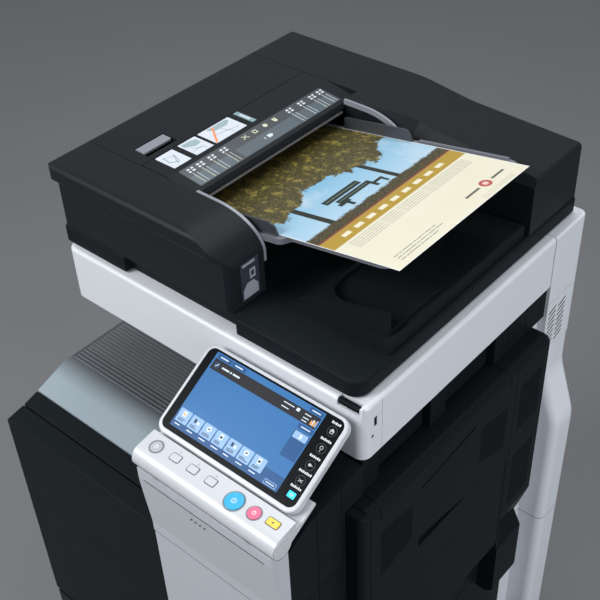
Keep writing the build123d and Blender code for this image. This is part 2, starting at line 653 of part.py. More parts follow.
def document_tray():
    """Sloping tray that holds the originals, with a rail along its back edge."""
    x0, x1 = -166.0, 240.0
    top0, top1 = paper_z(x0) - 0.2, paper_z(x1) - 0.2
    slab = along_y([(x0, top0, 0), (x0, top0 - 8, 0), (x1, top1 - 9, 3), (x1, top1, 3)], -103, 211.5)
    plan = [
        (x0, -90, 0), (-78, -90, 0), (-78, -103, 3), (66, -103, 12), (76, -88, 6), (x1, -88, 22),
        (x1, 211.5, 22), (x0, 211.5, 0),
    ]
    slab &= along_z(plan, 1060, 1250)
    rail_x0, rail_x1 = 66.0, x1 - 22
    rail = [(rail_x0, paper_z(rail_x0) - 4, 0), (rail_x1, paper_z(rail_x1) - 4, 0)]
    rail += [(rail_x1, paper_z(rail_x1) + 3, 2), (rail_x0, paper_z(rail_x0) + 3, 2)]
    pins = [
        rod_y(y0, y1, TRAY_PIVOT_X, TRAY_PIVOT_Z, TRAY_PIN_R)
        for y0, y1 in ((-117, -85), (205, 255))
    ]
    return slab + along_y(rail, 207.5, 211.5) + pins


def guide(y0, y1):
    """Upright wall that lines up the edge of the originals."""
    low, high = paper_z(-72) + 0.4, paper_z(58) + 0.4
    return along_y(
        [(-72, low, 0), (58, high, 0), (50, high + 17, 12), (-60, low + 21, 6), (-72, low + 19, 2)], y0,
        y1
    )


def original_sheet():
    """Sheet of 297 by 420 mm lying on the tray and partly taken in."""
    length = PAPER_LENGTH * math.cos(PAPER_SLOPE)
    x0, x1 = PAPER_RIGHT - length, PAPER_RIGHT
    corners = [
        (x0, paper_z(x0), 0), (x1, paper_z(x1), 0), (x1, paper_z(x1) + PAPER_THICK, 0),
        (x0, paper_z(x0) + PAPER_THICK, 0),
    ]
    return along_y(corners, PAPER_FRONT, PAPER_BACK)


# ---------------------------------------------------------------- control panel
PANEL = Plane(
    origin=PANEL_CORNER, x_dir=(1, 0, 0), z_dir=(0, -math.sin(PANEL_TILT), math.cos(PANEL_TILT))
)
TABLET_X, TABLET_Y = (-18.5, 227.5), (-14.5, 123.5)
GLASS_X, GLASS_Y = (-13.5, 222.0), (-8.0, 119.0)


def panel_slab(xs, ys, radius, z0, z1):
    """Rounded slab lying in the touch panel's plane."""
    centre = Pos((xs[0] + xs[1]) / 2, (ys[0] + ys[1]) / 2)
    face = centre * RectangleRounded(xs[1] - xs[0], ys[1] - ys[0], radius)
    return extrude(PANEL.offset(z0) * face, z1 - z0)


def tablet_shell():
    """White frame and back of the touch panel, with a pocket for the glass."""
    shell = panel_slab(TABLET_X, TABLET_Y, 16, -15, 0.6)
    outer = shell.faces().sort_by(lambda f: (f.center() - PANEL.origin).dot(PANEL.z_dir))
    shell = chamfer(outer[0].edges(), 5)
    outer = shell.faces().sort_by(lambda f: (f.center() - PANEL.origin).dot(PANEL.z_dir))
    shell = fillet(outer[-1].edges(), 2.5)
    slit = PANEL.location * Pos(TABLET_X[1], 50, -6.5) * Box(3, 46, 1.6)
    return shell - panel_slab(GLASS_X, GLASS_Y, 11, -1.6, 3) - slit


def touch_screen():
    """Black glass with the display behind it."""
    return panel_slab(
        [GLASS_X[0] + 0.2, GLASS_X[1] - 0.2], [GLASS_Y[0] + 0.2, GLASS_Y[1] - 0.2], 10.8, -1.5, 0.2
    )


def bar_tangent():
    """Where the key bar's flat top meets its round nose."""
    dy, dz = BAR_TOP_Y - PIVOT_Y, BAR_TOP_Z - PIVOT_Z
    angle = math.atan2(dz, dy) + math.acos(BAR_NOSE_R / math.hypot(dy, dz))
    return PIVOT_Y + BAR_NOSE_R * math.cos(angle), PIVOT_Z + BAR_NOSE_R * math.sin(angle)


BAR_EDGE_Y, BAR_EDGE_Z = bar_tangent()
BAR_SLOPE = math.atan2(BAR_TOP_Z - BAR_EDGE_Z, BAR_TOP_Y - BAR_EDGE_Y)


def key_plane(x, along):
    """Plane on the key bar's top, a distance in front of its rear edge."""
    y, z = BAR_TOP_Y - along * math.cos(BAR_SLOPE), BAR_TOP_Z - along * math.sin(BAR_SLOPE)
    return Plane(
        origin=(x, y, z), x_dir=(1, 0, 0), z_dir=(0, -math.sin(BAR_SLOPE), math.cos(BAR_SLOPE))
    )


ROUND_KEYS = {
    "power_button": (47.0, 19.0, 8.6, 1.0), "start_button": (190.5, 21.5, 13.0, 1.6),
    "stop_button": (223.0, 20.0, 9.2, 1.6),
}
SQUARE_KEYS = {
    "function_key_1": (81.4, 17.0, 15.0, 10.5, 1.4), "function_key_2": (113.3, 17.0, 15.0, 10.5, 1.4),
}
SQUARE_KEYS["function_key_3"] = (145.7, 17.0, 15.0, 10.5, 1.4)
SQUARE_KEYS["reset_button"] = (251.8, 17.0, 18.0, 10.0, 1.4)
KEY_DEPTH = 6.0


def round_key(x, along, r, proud):
    key = extrude(key_plane(x, along).offset(proud - KEY_DEPTH) * Circle(r), KEY_DEPTH)
    return fillet(key.faces().sort_by(Axis.Z)[-1].edges(), 0.8)


def square_key(x, along, width, height, proud):
    key = extrude(
        key_plane(x, along).offset(proud - KEY_DEPTH) * RectangleRounded(width, height, 2), KEY_DEPTH
    )
    return fillet(key.faces().sort_by(Axis.Z)[-1].edges(), 0.7)


def panel_bar():
    """White key bar with a round nose, end caps and the tongue that carries the tablet."""
    tongue_y, slope = -285.0, math.tan(PANEL_TILT)
    back_z = 946.2 + (tongue_y + 312.7) * slope
    top = [
        (BAR_TOP_Y, BAR_TOP_Z, 0), (BAR_EDGE_Y, BAR_EDGE_Z, 0), (PIVOT_Y - 6, PIVOT_Z, 0),
        (PIVOT_Y, PIVOT_Z - BAR_NOSE_R, 0),
    ]
    top += [
        (-338, 927, 0), (tongue_y, back_z - 6, 2), (tongue_y, back_z, 2), (-313.2, 945.9, 0),
        (BAR_TOP_Y, 948, 0),
    ]
    bar = along_x(top, BAR_LEFT, BAR_RIGHT) + rod_x(BAR_LEFT, BAR_RIGHT, PIVOT_Y, PIVOT_Z, BAR_NOSE_R)
    bar += [
        rod_x(x, x + 1.4, PIVOT_Y, PIVOT_Z, BAR_NOSE_R - 1.5)
        for x in (BAR_LEFT - 1.3, BAR_RIGHT - 0.1)
    ]
    bar -= rod_x(30, 262, PIVOT_Y, PIVOT_Z, PIN_R + RUNNING)
    for x in (65, 230):
        bar -= rod_x(x - 5, x + 5, PIVOT_Y, PIVOT_Z, 11)
        bar -= along_x(
            [
                (PIVOT_Y - 8.5, PIVOT_Z, 0), (PIVOT_Y + 8.5, PIVOT_Z, 0), (PIVOT_Y + 9, 900, 0),
                (PIVOT_Y - 9, 900, 0),
            ],
            x - 5, x + 5
        )
        turned = Rot(-38, 0, 0) * block(x - 5, x + 5, -10, 9, -30, 0)
        bar -= Pos(0, PIVOT_Y, PIVOT_Z) * turned
    for x, along, r, _ in ROUND_KEYS.values():
        bar -= extrude(key_plane(x, along).offset(-KEY_DEPTH - KEY_TRAVEL) * Circle(r + 0.35), 12)
    for x, along, width, height, _ in SQUARE_KEYS.values():
        hole = RectangleRounded(width + 0.7, height + 0.7, 2.3)
        bar -= extrude(key_plane(x, along).offset(-KEY_DEPTH - KEY_TRAVEL) * hole, 12)
    return bar


# ---------------------------------------------------------------- doors and drawers
def door_profile(top_back, top_front):
    return [(-322, DOOR_BOTTOM, 0), (FRONT, DOOR_BOTTOM, 4), (FRONT, top_front, 3), (-322, top_back, 2)]


def front_door():
    """Black part of the front door, hollow behind, with a shallow crease across it."""
    body = along_x(door_profile(797, DOOR_TOP), LEFT, SPLIT_X - 0.5)
    body -= block(LEFT + 5, SPLIT_X - 5, -350, -300, DOOR_BOTTOM + 25, COLUMN_SEAM - 10)
    body -= block(LEFT + 28, 60, FRONT - 1, FRONT + 0.8, 624, 625.2)
    body -= block(-300, -290, DOOR_PIVOT_Y - 6.5, -300, DOOR_BOTTOM - 5, DOOR_PIVOT_Z + 6.5)
    return body - rod_x(-306.5, -290, DOOR_PIVOT_Y, DOOR_PIVOT_Z, PIN_R + RUNNING)


def front_door_column():
    """White part of the front door, in line with the column above it."""
    corner = [(SPLIT_X, -322, 0), (SPLIT_X, FRONT - 1, 2), (RIGHT, FRONT - 1, 11), (RIGHT, -322, 0)]
    body = along_z(corner, DOOR_BOTTOM, COLUMN_SEAM)
    body -= block(SPLIT_X + 5, RIGHT - 5, -350, -300, DOOR_BOTTOM + 25, COLUMN_SEAM - 10)
    body -= block(255, 265, DOOR_PIVOT_Y - 6.5, -300, DOOR_BOTTOM - 5, DOOR_PIVOT_Z + 6.5)
    return body - rod_x(255, 270.5, DOOR_PIVOT_Y, DOOR_PIVOT_Z, PIN_R + RUNNING)


def drawer(low, high):
    """Paper drawer: a full width front with a recessed grip, and the tray behind it."""
    back = FRONT + DRAWER_FRONT
    front = block(LEFT, RIGHT - 0.5, FRONT, back, low, high)
    front = fillet(front.edges().filter_by(Axis.Z).sort_by(Axis.Y)[:2], 4)
    grip = [
        (FRONT - 1, high - 38, 0), (FRONT + 16, high - 30, 6), (FRONT + 18, high - 10, 3),
        (FRONT - 1, high - 10, 0),
    ]
    front -= along_x(grip, -110, 50)
    front -= block(SPLIT_X, SPLIT_X + 0.8, FRONT - 1, FRONT + 1, low - 1, high + 1)
    tray = block(-295.5, 255.5, back, 290, low + 2, high - 4)
    tray -= block(-292.5, 252.5, back + 3, 287, low + 5, high + 1)
    return group([front, tray])


def right_door():
    """Paper path door: shelf-like top, two louvers and a thin grip; the bypass tray folds into it."""
    profile = [(261, 457, 4), (UNIT_FACE, 457, 3), (UNIT_FACE, 887, 13), (261, 887, 0)]
    body = along_y(profile, -211, 152)
    body -= along_x(
        [(-207, 450, 0), (-207, 732, 2), (-108, 732, 10), (147, 689, 2), (147, 450, 0)], 294.5, 310
    )
    body -= louver([(-188, 731), (-115, 749), (-115, 818), (-188, 831)])
    body -= louver([(58, 753), (131, 732), (131, 818), (58, 831)])
    body -= along_x(
        [(-94, 834, 0), (38, 848, 0), (38, 852, 0), (-94, 838, 0)], UNIT_FACE - 3, UNIT_FACE + 1
    )
    for y in (-190, 131):
        cap = block(262, UNIT_FACE + 1, y, y + 1.4, 885.5, 890) + block(
            UNIT_FACE - 1.5, UNIT_FACE + 1, y, y + 1.4, 858, 890
        )
        body -= cap
    for y0, y1 in ((-212, -201), (142, 153)):
        body -= rod_y(y0, y1, RIGHT_DOOR_PIVOT_X, RIGHT_DOOR_PIVOT_Z, PIN_R + RUNNING)
    return body + [
        rod_y(y0, y1, BYPASS_PIVOT_X, BYPASS_PIVOT_Z, 2)
        for y0, y1 in ((-209, -192), (132, 149))
    ]


def bypass_tray():
    """Folded bypass tray with a finger recess in its top edge and a rounded lower edge."""
    inner, outer = BYPASS_PIVOT_X - BYPASS_END_R, BYPASS_PIVOT_X + BYPASS_END_R
    face = [
        (-206, BYPASS_PIVOT_Z, 0), (-206, 731, 2), (-109, 731, 10), (146, 688, 2),
        (146, BYPASS_PIVOT_Z, 0),
    ]
    body = along_x(face, inner, outer) + rod_y(-206, 146, BYPASS_PIVOT_X, BYPASS_PIVOT_Z, BYPASS_END_R)
    body -= along_x([(-96, 707, 3), (27, 707, 3), (27, 740, 0), (-96, 740, 0)], inner + 2.5, outer + 1)
    for y0, y1 in ((-207, -191), (131, 147)):
        body -= rod_y(y0, y1, BYPASS_PIVOT_X, BYPASS_PIVOT_Z, 2 + RUNNING)
    return body


# ---------------------------------------------------------------- all nodes
def build():
    nodes = {
        "base_plate": base_plate(), "main_frame": main_frame(), "toner_bottles": toner_bottles(),
        "drum_units": drum_units(), "transfer_belt": transfer_belt(), "laser_unit": laser_unit(),
        "fuser_unit": fuser_unit(), "power_supply": power_supply(), "power_inlet": power_inlet(),
        "left_cover": left_cover(), "rear_cover": rear_cover(), "rear_column": rear_column(),
        "right_cover": right_cover(), "right_walls": right_walls(),
        "rear_unit": rear_unit(), "exit_tower": exit_tower(), "output_tray": output_tray(),
        "column_upper": column_upper(), "front_top_covers": front_top_covers(),
        "scanner_housing": scanner_housing(), "platen_glass": platen_glass(), "steel_shafts": steel_shafts(),
        "scan_carriage": scan_carriage(), "stylus": stylus(),
        "adf_base": adf_base(), "platen_pad": platen_pad(), "adf_front_block": adf_front_block(),
        "adf_rear_block": adf_rear_block(), "adf_core": adf_core(), "feed_trims": feed_trims(),
        "feed_cover": feed_cover(), "feed_latch": feed_latch(), "feed_roller": feed_roller(),
        "document_tray": document_tray(), "guide_front": guide(PAPER_FRONT - 3.7, PAPER_FRONT - 0.7),
        "guide_rear": guide(PAPER_BACK + 0.7, PAPER_BACK + 3.7), "original_sheet": original_sheet(),
        "tablet_shell": tablet_shell(), "touch_screen": touch_screen(), "panel_bar": panel_bar(),
        "front_door": front_door(), "front_door_column": front_door_column(),
        "right_door": right_door(), "bypass_tray": bypass_tray(),
    }
    nodes.update({name: round_key(*key) for name, key in ROUND_KEYS.items()})
    nodes.update({name: square_key(*key) for name, key in SQUARE_KEYS.items()})
    for number, (low, high) in DRAWERS.items():
        nodes[f"drawer_{number}"] = drawer(low, high)
    for side, x in (("left", CASTER_LEFT), ("right", CASTER_RIGHT)):
        nodes[f"caster_{side}_fork"] = caster_fork(x, FRONT_CASTER_Y, BASE_BOTTOM - 0.4)
        nodes[f"caster_{side}_wheel"] = caster_wheel(x, FRONT_CASTER_Y)
        nodes[f"rear_{side}_wheel"] = caster_wheel(x, REAR_CASTER_Y)
    return nodes


os.makedirs("parts", exist_ok=True)
for name, shape in build().items():
    export_step(shape, f"parts/{name}.step")
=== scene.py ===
import math
import random
import bpy
import bmesh
from mathutils import Matrix, Vector


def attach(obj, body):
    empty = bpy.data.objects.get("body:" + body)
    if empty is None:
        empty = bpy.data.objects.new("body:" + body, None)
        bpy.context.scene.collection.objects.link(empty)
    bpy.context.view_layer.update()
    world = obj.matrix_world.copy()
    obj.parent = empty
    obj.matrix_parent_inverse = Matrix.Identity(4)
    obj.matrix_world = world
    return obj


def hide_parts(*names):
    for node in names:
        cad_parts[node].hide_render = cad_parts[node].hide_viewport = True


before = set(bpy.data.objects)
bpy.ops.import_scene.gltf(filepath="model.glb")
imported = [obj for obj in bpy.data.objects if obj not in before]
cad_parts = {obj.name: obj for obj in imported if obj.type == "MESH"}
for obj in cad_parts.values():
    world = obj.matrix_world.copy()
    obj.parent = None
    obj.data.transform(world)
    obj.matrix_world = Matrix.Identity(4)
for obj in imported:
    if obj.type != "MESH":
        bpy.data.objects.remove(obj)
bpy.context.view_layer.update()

# Looks of a floor-standing photocopier. Blender works in metres; the tables and plans below are
# in millimetres, in the same frame as the CAD model: +X right, +Y back, +Z up, origin on the floor.
MM = 0.001

# Places that the CAD model fixes, in millimetres
PANEL_TILT = math.radians(30)
PANEL_CORNER = Vector((39.0, -307.6, 966.8))                # lower left corner of the lit screen
BAR_TILT = math.radians(8.444)
BAR_EDGE = Vector((0.0, -322.5, 958.2))                     # back edge of the key bar's top
FEEDER_TOP = 1183.0
STRIP_TOP = Vector((-139.0, 0.0, FEEDER_TOP))               # upper and lower line of the bridge's slope
STRIP_LOW = Vector((-84.0, 0.0, 1176.0))
PAPER_SLOPE = math.radians(9.6)
PAPER_RIGHT, PAPER_RIGHT_Z = 254.0, 1195.0
PAPER_FRONT, PAPER_BACK = -93.5, 203.5
PAPER_LENGTH = 420.0
PAPER_WIDTH = PAPER_BACK - PAPER_FRONT
SPLIT_X = 29.0                                              # line between black front and white column
RIGHT = 275.0                                               # right face of the scanner and the column
COLUMN_SEAM = 785.0                                         # top of the front door
COLUMN_LINE = 392.0                                         # line between the rear column's long panels
TRAY_HEIGHT, TRAY_RIB_PITCH = 827.0, 7.0                    # surface and tall ribs of the output tray
DRAWER_FLOORS = (262.0, 176.0, 90.0)
DRAWER_FRONT_BACK = -326.1                                  # back of the drawers' front plates
BOTTLE_PITCH = 105.0
BOTTLE_FRONT = -299.0

# Keys on the bar: centre along the bar, and centre below the bar's back edge
POWER_KEY, START_KEY, STOP_KEY, RESET_KEY = (47.0, 19.0), (190.5, 21.5), (223.0, 20.0), (251.8, 17.0)
FUNCTION_KEYS = ((81.4, 17.0), (113.3, 17.0), (145.7, 17.0))


# ---------------------------------------------------------------- materials
class Shader:
    """A material under construction: short calls for its nodes."""

    def __init__(self, name):
        self.material = bpy.data.materials.new(name)
        self.material.use_nodes = True
        self.nodes = self.material.node_tree.nodes
        self.links = self.material.node_tree.links
        self.surface = self.nodes["Principled BSDF"]
        self.coordinates = self.add("ShaderNodeTexCoord")

    def add(self, kind, **settings):
        node = self.nodes.new(kind)
        for key, value in settings.items():
            setattr(node, key, value)
        return node

    def put(self, value, socket):
        """Sets a socket to a constant, or links an output to it."""
        if isinstance(value, bpy.types.NodeSocket):
            self.links.new(value, socket)
        else:
            socket.default_value = value

    def math(self, operation, a, b=0.0):
        node = self.add("ShaderNodeMath", operation=operation)
        self.put(a, node.inputs[0])
        self.put(b, node.inputs[1])
        return node.outputs[0]

    def noise(self, scale, detail=3.0, roughness=0.5, space="Object", stretch=None):
        source = self.coordinates.outputs[space]
        if stretch:
            mapping = self.add("ShaderNodeMapping")
            mapping.inputs["Scale"].default_value = stretch
            self.links.new(source, mapping.inputs["Vector"])
            source = mapping.outputs[0]
        node = self.add("ShaderNodeTexNoise")
        self.links.new(source, node.inputs["Vector"])
        node.inputs["Scale"].default_value = scale
        node.inputs["Detail"].default_value = detail
        node.inputs["Roughness"].default_value = roughness
        return node.outputs["Fac"]

    def spread(self, value, low, high, start=0.3, end=0.7):
        """Maps start..end of a value to low..high."""
        node = self.add("ShaderNodeMapRange")
        self.put(value, node.inputs["Value"])
        for key, number in (("From Min", start), ("From Max", end), ("To Min", low), ("To Max", high)):
            self.put(number, node.inputs[key])
        return node.outputs[0]

    def mix(self, factor, a, b):
        """Goes from colour a to colour b as the factor goes from 0 to 1."""
        node = self.add("ShaderNodeMix", data_type="RGBA")
        self.put(factor, node.inputs[0])
        for value, socket in ((a, node.inputs[6]), (b, node.inputs[7])):
            self.put(value if isinstance(value, bpy.types.NodeSocket) else (*value[:3], 1.0), socket)
        return node.outputs[2]

    def axis(self, name, space="Object"):
        """One coordinate, in metres, or in shares of the sheet for UV."""
        node = self.add("ShaderNodeSeparateXYZ")
        self.links.new(self.coordinates.outputs[space], node.inputs[0])
        return node.outputs[name]

    def past(self, name, edge, soft=0.2):
        """One beyond a place on an axis, zero before it. The place is in millimetres."""
        return self.spread(self.axis(name), 0.0, 1.0, (edge - soft) * MM, (edge + soft) * MM)

    def between(self, name, low, high):
        """One between two places on an axis, zero elsewhere."""
        return self.math("SUBTRACT", self.past(name, low), self.past(name, high))

    def bump(self, height, strength, distance):
        node = self.add("ShaderNodeBump")
        node.inputs["Strength"].default_value = strength
        node.inputs["Distance"].default_value = distance
        self.links.new(height, node.inputs["Height"])
        self.links.new(node.outputs[0], self.surface.inputs["Normal"])

    def set(self, **values):
        """Sets or links inputs of the surface, named with underscores for spaces."""
        for key, value in values.items():
            self.put(value, self.surface.inputs[key.replace("_", " ")])


def tinted(color, factor):
    """A colour made darker or lighter."""
    return tuple(min(1.0, c * factor) for c in color)


def moulded(s, base, rough=0.45, grain=0.2, grain_size=0.0008, coat=0.0, shine=0.5):
    """Surface of moulded plastic: fine grain and faintly uneven gloss under a base colour."""
    grain_height = s.noise(1.0 / grain_size, 2.0, 0.6)
    smear = s.noise(24.0, 3.0)
    s.set(Base_Color=base, Roughness=s.spread(smear, rough - 0.02, rough + 0.03))
    s.set(Coat_Weight=coat, Coat_Roughness=0.18, Specular_IOR_Level=shine)
    s.bump(grain_height, grain, 0.00012)
    return s.material


def clouded(s, color, mottle=0.03):
    """A colour with faint clouding."""
    return s.mix(s.noise(55.0, 5.0, 0.65), tinted(color, 1 - mottle), tinted(color, 1 + mottle))


def plastic(name, color, rough=0.45, grain=0.2, grain_size=0.0008, mottle=0.03, coat=0.0, shine=0.5):
    """Moulded plastic of one colour."""
    s = Shader(name)
    return moulded(s, clouded(s, color, mottle), rough, grain, grain_size, coat, shine)


def tray_plastic():
    """Output tray: painted shade between its ribs, and painted highlights on the ribs and on the curve at
    its front.
    """
    s = Shader("tray_plastic")
    # painted highlight: the curve at the tray's front is made paler towards its edge
    front = s.spread(s.axis("Y"), 0.0, 1.0, -0.212, -0.258)
    # painted light: the ribs are paler and the tray between them darker
    rib = s.past("Z", TRAY_HEIGHT + 0.8)
    base = s.mix(rib, clouded(s, (0.062, 0.068, 0.075)), (0.17, 0.18, 0.19))
    return moulded(s, s.mix(front, base, (0.31, 0.37, 0.41)), 0.30, 0.05)


def drawer_plastic():
    """Drawer: black, with the white stretch of its front in line with the column."""
    s = Shader("drawer_plastic")
    front = s.math("SUBTRACT", 1.0, s.past("Y", DRAWER_FRONT_BACK, 0.1))
    white = s.math("MULTIPLY", s.past("X", SPLIT_X + 0.25, 0.15), front)
    # the white stretch takes COLUMN, the pearl darkened as painted shade
    base = s.mix(white, clouded(s, CHARCOAL), COLUMN)
    return moulded(s, base, 0.44, 0.16, shine=0.1)


def metal(name, color, rough, brushed=(1.0, 1.0, 14.0)):
    """Ground or zinc coated steel with fine lines."""
    s = Shader(name)
    lines = s.noise(260.0, 2.0, 0.7, stretch=brushed)
    patches = s.noise(30.0, 3.0)
    s.set(Base_Color=s.mix(patches, tinted(color, 0.85), color), Metallic=0.92)
    s.set(Roughness=s.spread(lines, rough - 0.08, rough + 0.1))
    s.bump(lines, 0.12, 0.0001)
    return s.material


def glowing(name, color, strength):
    """Part of the lit display: a very fine, faint grain under the glass."""
    s = Shader(name)
    fine = s.noise(2600.0, 1.0)
    tone = s.mix(fine, tinted(color, 0.93), tinted(color, 1.05))
    s.set(
        Base_Color=tone, Roughness=0.25, Emission_Color=tone, Emission_Strength=strength,
        Specular_IOR_Level=0.2
    )
    return s.material


def rear_column_plastic():
    """Pearl column at the rear corner: a dark line between its long panels, and painted shade inside its
    vents.
    """
    s = Shader("rear_column_plastic")
    shadow = (0.10, 0.108, 0.12)
    base = s.mix(s.between("Z", COLUMN_LINE - 0.8, COLUMN_LINE + 0.7), clouded(s, PEARL, 0.01), shadow)
    # painted shade inside the vents on the column's right face
    vents = s.math("MULTIPLY", s.between("Y", 280.5, 334.5), s.between("Z", 814.0, 905.0))
    base = s.mix(s.math("MULTIPLY", vents, s.between("X", 260.0, RIGHT + 0.5)), base, shadow)
    return moulded(s, base, 0.32, 0.06, coat=0.15)


CHARCOAL = (0.0105, 0.0135, 0.0155)
BLACK = (0.0088, 0.0114, 0.0132)
PEARL = (0.74, 0.77, 0.81)
# COLUMN is the pearl made darker: painted shade on the column's front and on the white stretch of the
# drawer fronts
COLUMN = (0.52, 0.55, 0.59)
MATERIALS = {
    "charcoal": plastic("charcoal_plastic", CHARCOAL, 0.40, 0.14, shine=0.03),
    # the feeder's upper parts get a lighter copy of the charcoal: painted light on their tops
    "charcoal_top": plastic("feeder_lit_charcoal", (0.0125, 0.0155, 0.0175), 0.36, 0.12, shine=0.1),
    "black": plastic("black_plastic", BLACK, 0.38, 0.16, shine=0.04),
    "pearl": plastic("pearl_plastic", PEARL, 0.32, 0.06, mottle=0.01, coat=0.15),
    "white": plastic("white_plastic", (0.60, 0.62, 0.65), 0.30, 0.05, mottle=0.008, coat=0.2),
    # the column takes the darkened pearl as painted shade
    "column": plastic("column_plastic", COLUMN, 0.34, 0.06, mottle=0.01, coat=0.12),
    "tray": tray_plastic(),
    "rear_column": rear_column_plastic(),
    "drawer": drawer_plastic(),
    "paper_path": plastic("paper_path_plastic", (0.15, 0.155, 0.18), 0.4, 0.08),
    "guide": plastic("guide_plastic", (0.040, 0.043, 0.050), 0.36, 0.08),
    "power": plastic("power_key", (0.46, 0.49, 0.52), 0.28, 0.05, coat=0.3),
    "trim": plastic("silver_trim", (0.24, 0.255, 0.29), 0.3, 0.04, coat=0.3),
    "latch": plastic("latch_plastic", (0.22, 0.235, 0.27), 0.4, 0.08),
    "rubber": plastic("rubber", (0.02, 0.02, 0.02), 0.75, 0.5, 0.0012),
    "belt": plastic("belt_film", (0.012, 0.012, 0.012), 0.12, 0.02, coat=0.6),
    "pad": plastic("pad_foam", (0.86, 0.86, 0.84), 0.7, 0.3, 0.0015),
    "screen": plastic("screen_glass", (0.004, 0.005, 0.0065), 0.25, 0.0, shine=0.08),
    "cyan": plastic("cyan_key", (0.02, 0.42, 0.72), 0.25, 0.03, coat=0.5),
    "red": plastic("red_key", (0.78, 0.13, 0.25), 0.25, 0.03, coat=0.5),
    "yellow": plastic("yellow_key", (0.88, 0.62, 0.05), 0.25, 0.03, coat=0.5),
    "steel": metal("zinc_steel", (0.62, 0.63, 0.65), 0.34),
    "shaft": metal("ground_steel", (0.72, 0.72, 0.73), 0.2, (14.0, 1.0, 1.0)),
}


def toner_material():
    """Pale bottles whose fronts are dyed cyan, magenta, yellow and black."""
    s = Shader("toner_bottle")
    dyes = [(0.02, 0.35, 0.6), (0.6, 0.03, 0.25), (0.8, 0.6, 0.03), (0.03, 0.03, 0.03)]
    dye = dyes[0]
    for number, color in enumerate(dyes[1:]):
        dye = s.mix(s.past("X", -182.5 + BOTTLE_PITCH * number, 1.0), dye, color)
    front = s.math("SUBTRACT", 1.0, s.past("Y", BOTTLE_FRONT, 1.0))
    ribs = s.noise(400.0, 1.0, stretch=(0.02, 1.0, 0.02))
    s.set(Base_Color=s.mix(front, (0.7, 0.7, 0.66), dye), Roughness=s.spread(ribs, 0.35, 0.5))
    s.bump(ribs, 0.4, 0.0008)
    return s.material


def glass_material():
    """Greenish clear glass with a trace of dust."""
    s = Shader("platen_glass")
    dust = s.noise(700.0, 4.0)
    s.set(Base_Color=(0.8, 0.9, 0.88, 1.0), Roughness=s.spread(dust, 0.02, 0.06), IOR=1.5)
    s.set(Transmission_Weight=0.85)
    return s.material


MATERIALS["toner"] = toner_material()
MATERIALS["glass"] = glass_material()

NODE_MATERIALS = {
    "left_cover": "charcoal", "rear_cover": "charcoal", "right_cover": "black", "front_door": "charcoal",
    "adf_base": "charcoal", "adf_front_block": "charcoal_top", "adf_rear_block": "charcoal_top",
    "adf_core": "charcoal_top", "feed_cover": "charcoal_top", "feed_trims": "trim", "feed_latch": "latch",
    "feed_roller": "rubber", "document_tray": "paper_path", "guide_front": "guide", "guide_rear": "guide",
    "platen_pad": "pad", "platen_glass": "glass", "scan_carriage": "black", "stylus": "black",
    "right_walls": "black", "rear_unit": "black", "exit_tower": "black", "front_top_covers": "charcoal",
    "right_door": "black", "bypass_tray": "black", "power_inlet": "black", "drum_units": "black",
    "laser_unit": "black", "transfer_belt": "belt", "toner_bottles": "toner", "fuser_unit": "steel",
    "power_supply": "steel", "main_frame": "steel", "base_plate": "steel", "steel_shafts": "shaft",
    "scanner_housing": "pearl", "rear_column": "rear_column", "column_upper": "column",
    "front_door_column": "column", "panel_bar": "white", "tablet_shell": "white", "touch_screen": "screen",
    "output_tray": "tray", "power_button": "power", "function_key_1": "white", "function_key_2": "white",
    "function_key_3": "white", "start_button": "cyan", "stop_button": "red", "reset_button": "yellow",
    "caster_left_fork": "steel", "caster_right_fork": "steel", "caster_left_wheel": "rubber",
    "caster_right_wheel": "rubber", "rear_left_wheel": "rubber", "rear_right_wheel": "rubber",
    "drawer_1": "drawer", "drawer_2": "drawer", "drawer_3": "drawer", "original_sheet": "pad",
}


def dress_cad_nodes():
    """Gives every CAD node its material."""
    for name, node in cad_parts.items():
        node.data.materials.clear()
        node.data.materials.append(MATERIALS[NODE_MATERIALS[name]])


# ---------------------------------------------------------------- mesh helpers
def level(z):
    """Plan coordinates at a height."""
    return Matrix.Translation((0, 0, z))


def tilted(origin, angle):
    """A plane through origin that rises towards the back."""
    return Matrix.Translation(origin) @ Matrix.Rotation(angle, 4, "X")


def upright(place, turn):
    """A vertical plane through place; at turn 0 it faces the front, with its own x to the right."""
    return Matrix.Translation(place) @ Matrix.Rotation(turn, 4, "Z") @ Matrix.Rotation(math.pi / 2, 4, "X")


def facing_front(y):
    """Plane at y that faces the front; its own x runs to the machine's right and its own y up."""
    return upright((0, y, 0), 0)


def facing_right(x):
    """Plane at x that faces right; its own x runs to the back and its own y up."""
    return upright((x, 0, 0), math.pi / 2)


def facing_back(y):
    """Plane at y that faces the back; its own x runs to the machine's left and its own y up."""
    return upright((0, y, 0), math.pi)


PANEL = tilted(PANEL_CORNER, PANEL_TILT)
BAR = tilted(BAR_EDGE, BAR_TILT)


def rounded(x0, x1, y0, y1, r=0.0, steps=5):
    """Points of a rectangle with rounded corners, anticlockwise."""
    if r <= 0:
        return [(x0, y0), (x1, y0), (x1, y1), (x0, y1)]
    points = []
    corners = ((x1 - r, y0 + r, -90), (x1 - r, y1 - r, 0), (x0 + r, y1 - r, 90), (x0 + r, y0 + r, 180))
    for cx, cy, start in corners:
        for i in range(steps + 1):
            turn = math.radians(start + 90 * i / steps)
            points.append((cx + r * math.cos(turn), cy + r * math.sin(turn)))
    return points


def disc(cx, cy, r, steps=40):
    """Points of a circle."""
    return [
        (cx + r * math.cos(2 * math.pi * i / steps), cy + r * math.sin(2 * math.pi * i / steps))
        for i in range(steps)
    ]


def stroke(points, width):
    """Outline of a line with a width through two points."""
    (ax, ay), (bx, by) = points
    length = math.hypot(bx - ax, by - ay)
    nx, ny = -(by - ay) / length * width / 2, (bx - ax) / length * width / 2
    return [(ax + nx, ay + ny), (ax - nx, ay - ny), (bx - nx, by - ny), (bx + nx, by + ny)]


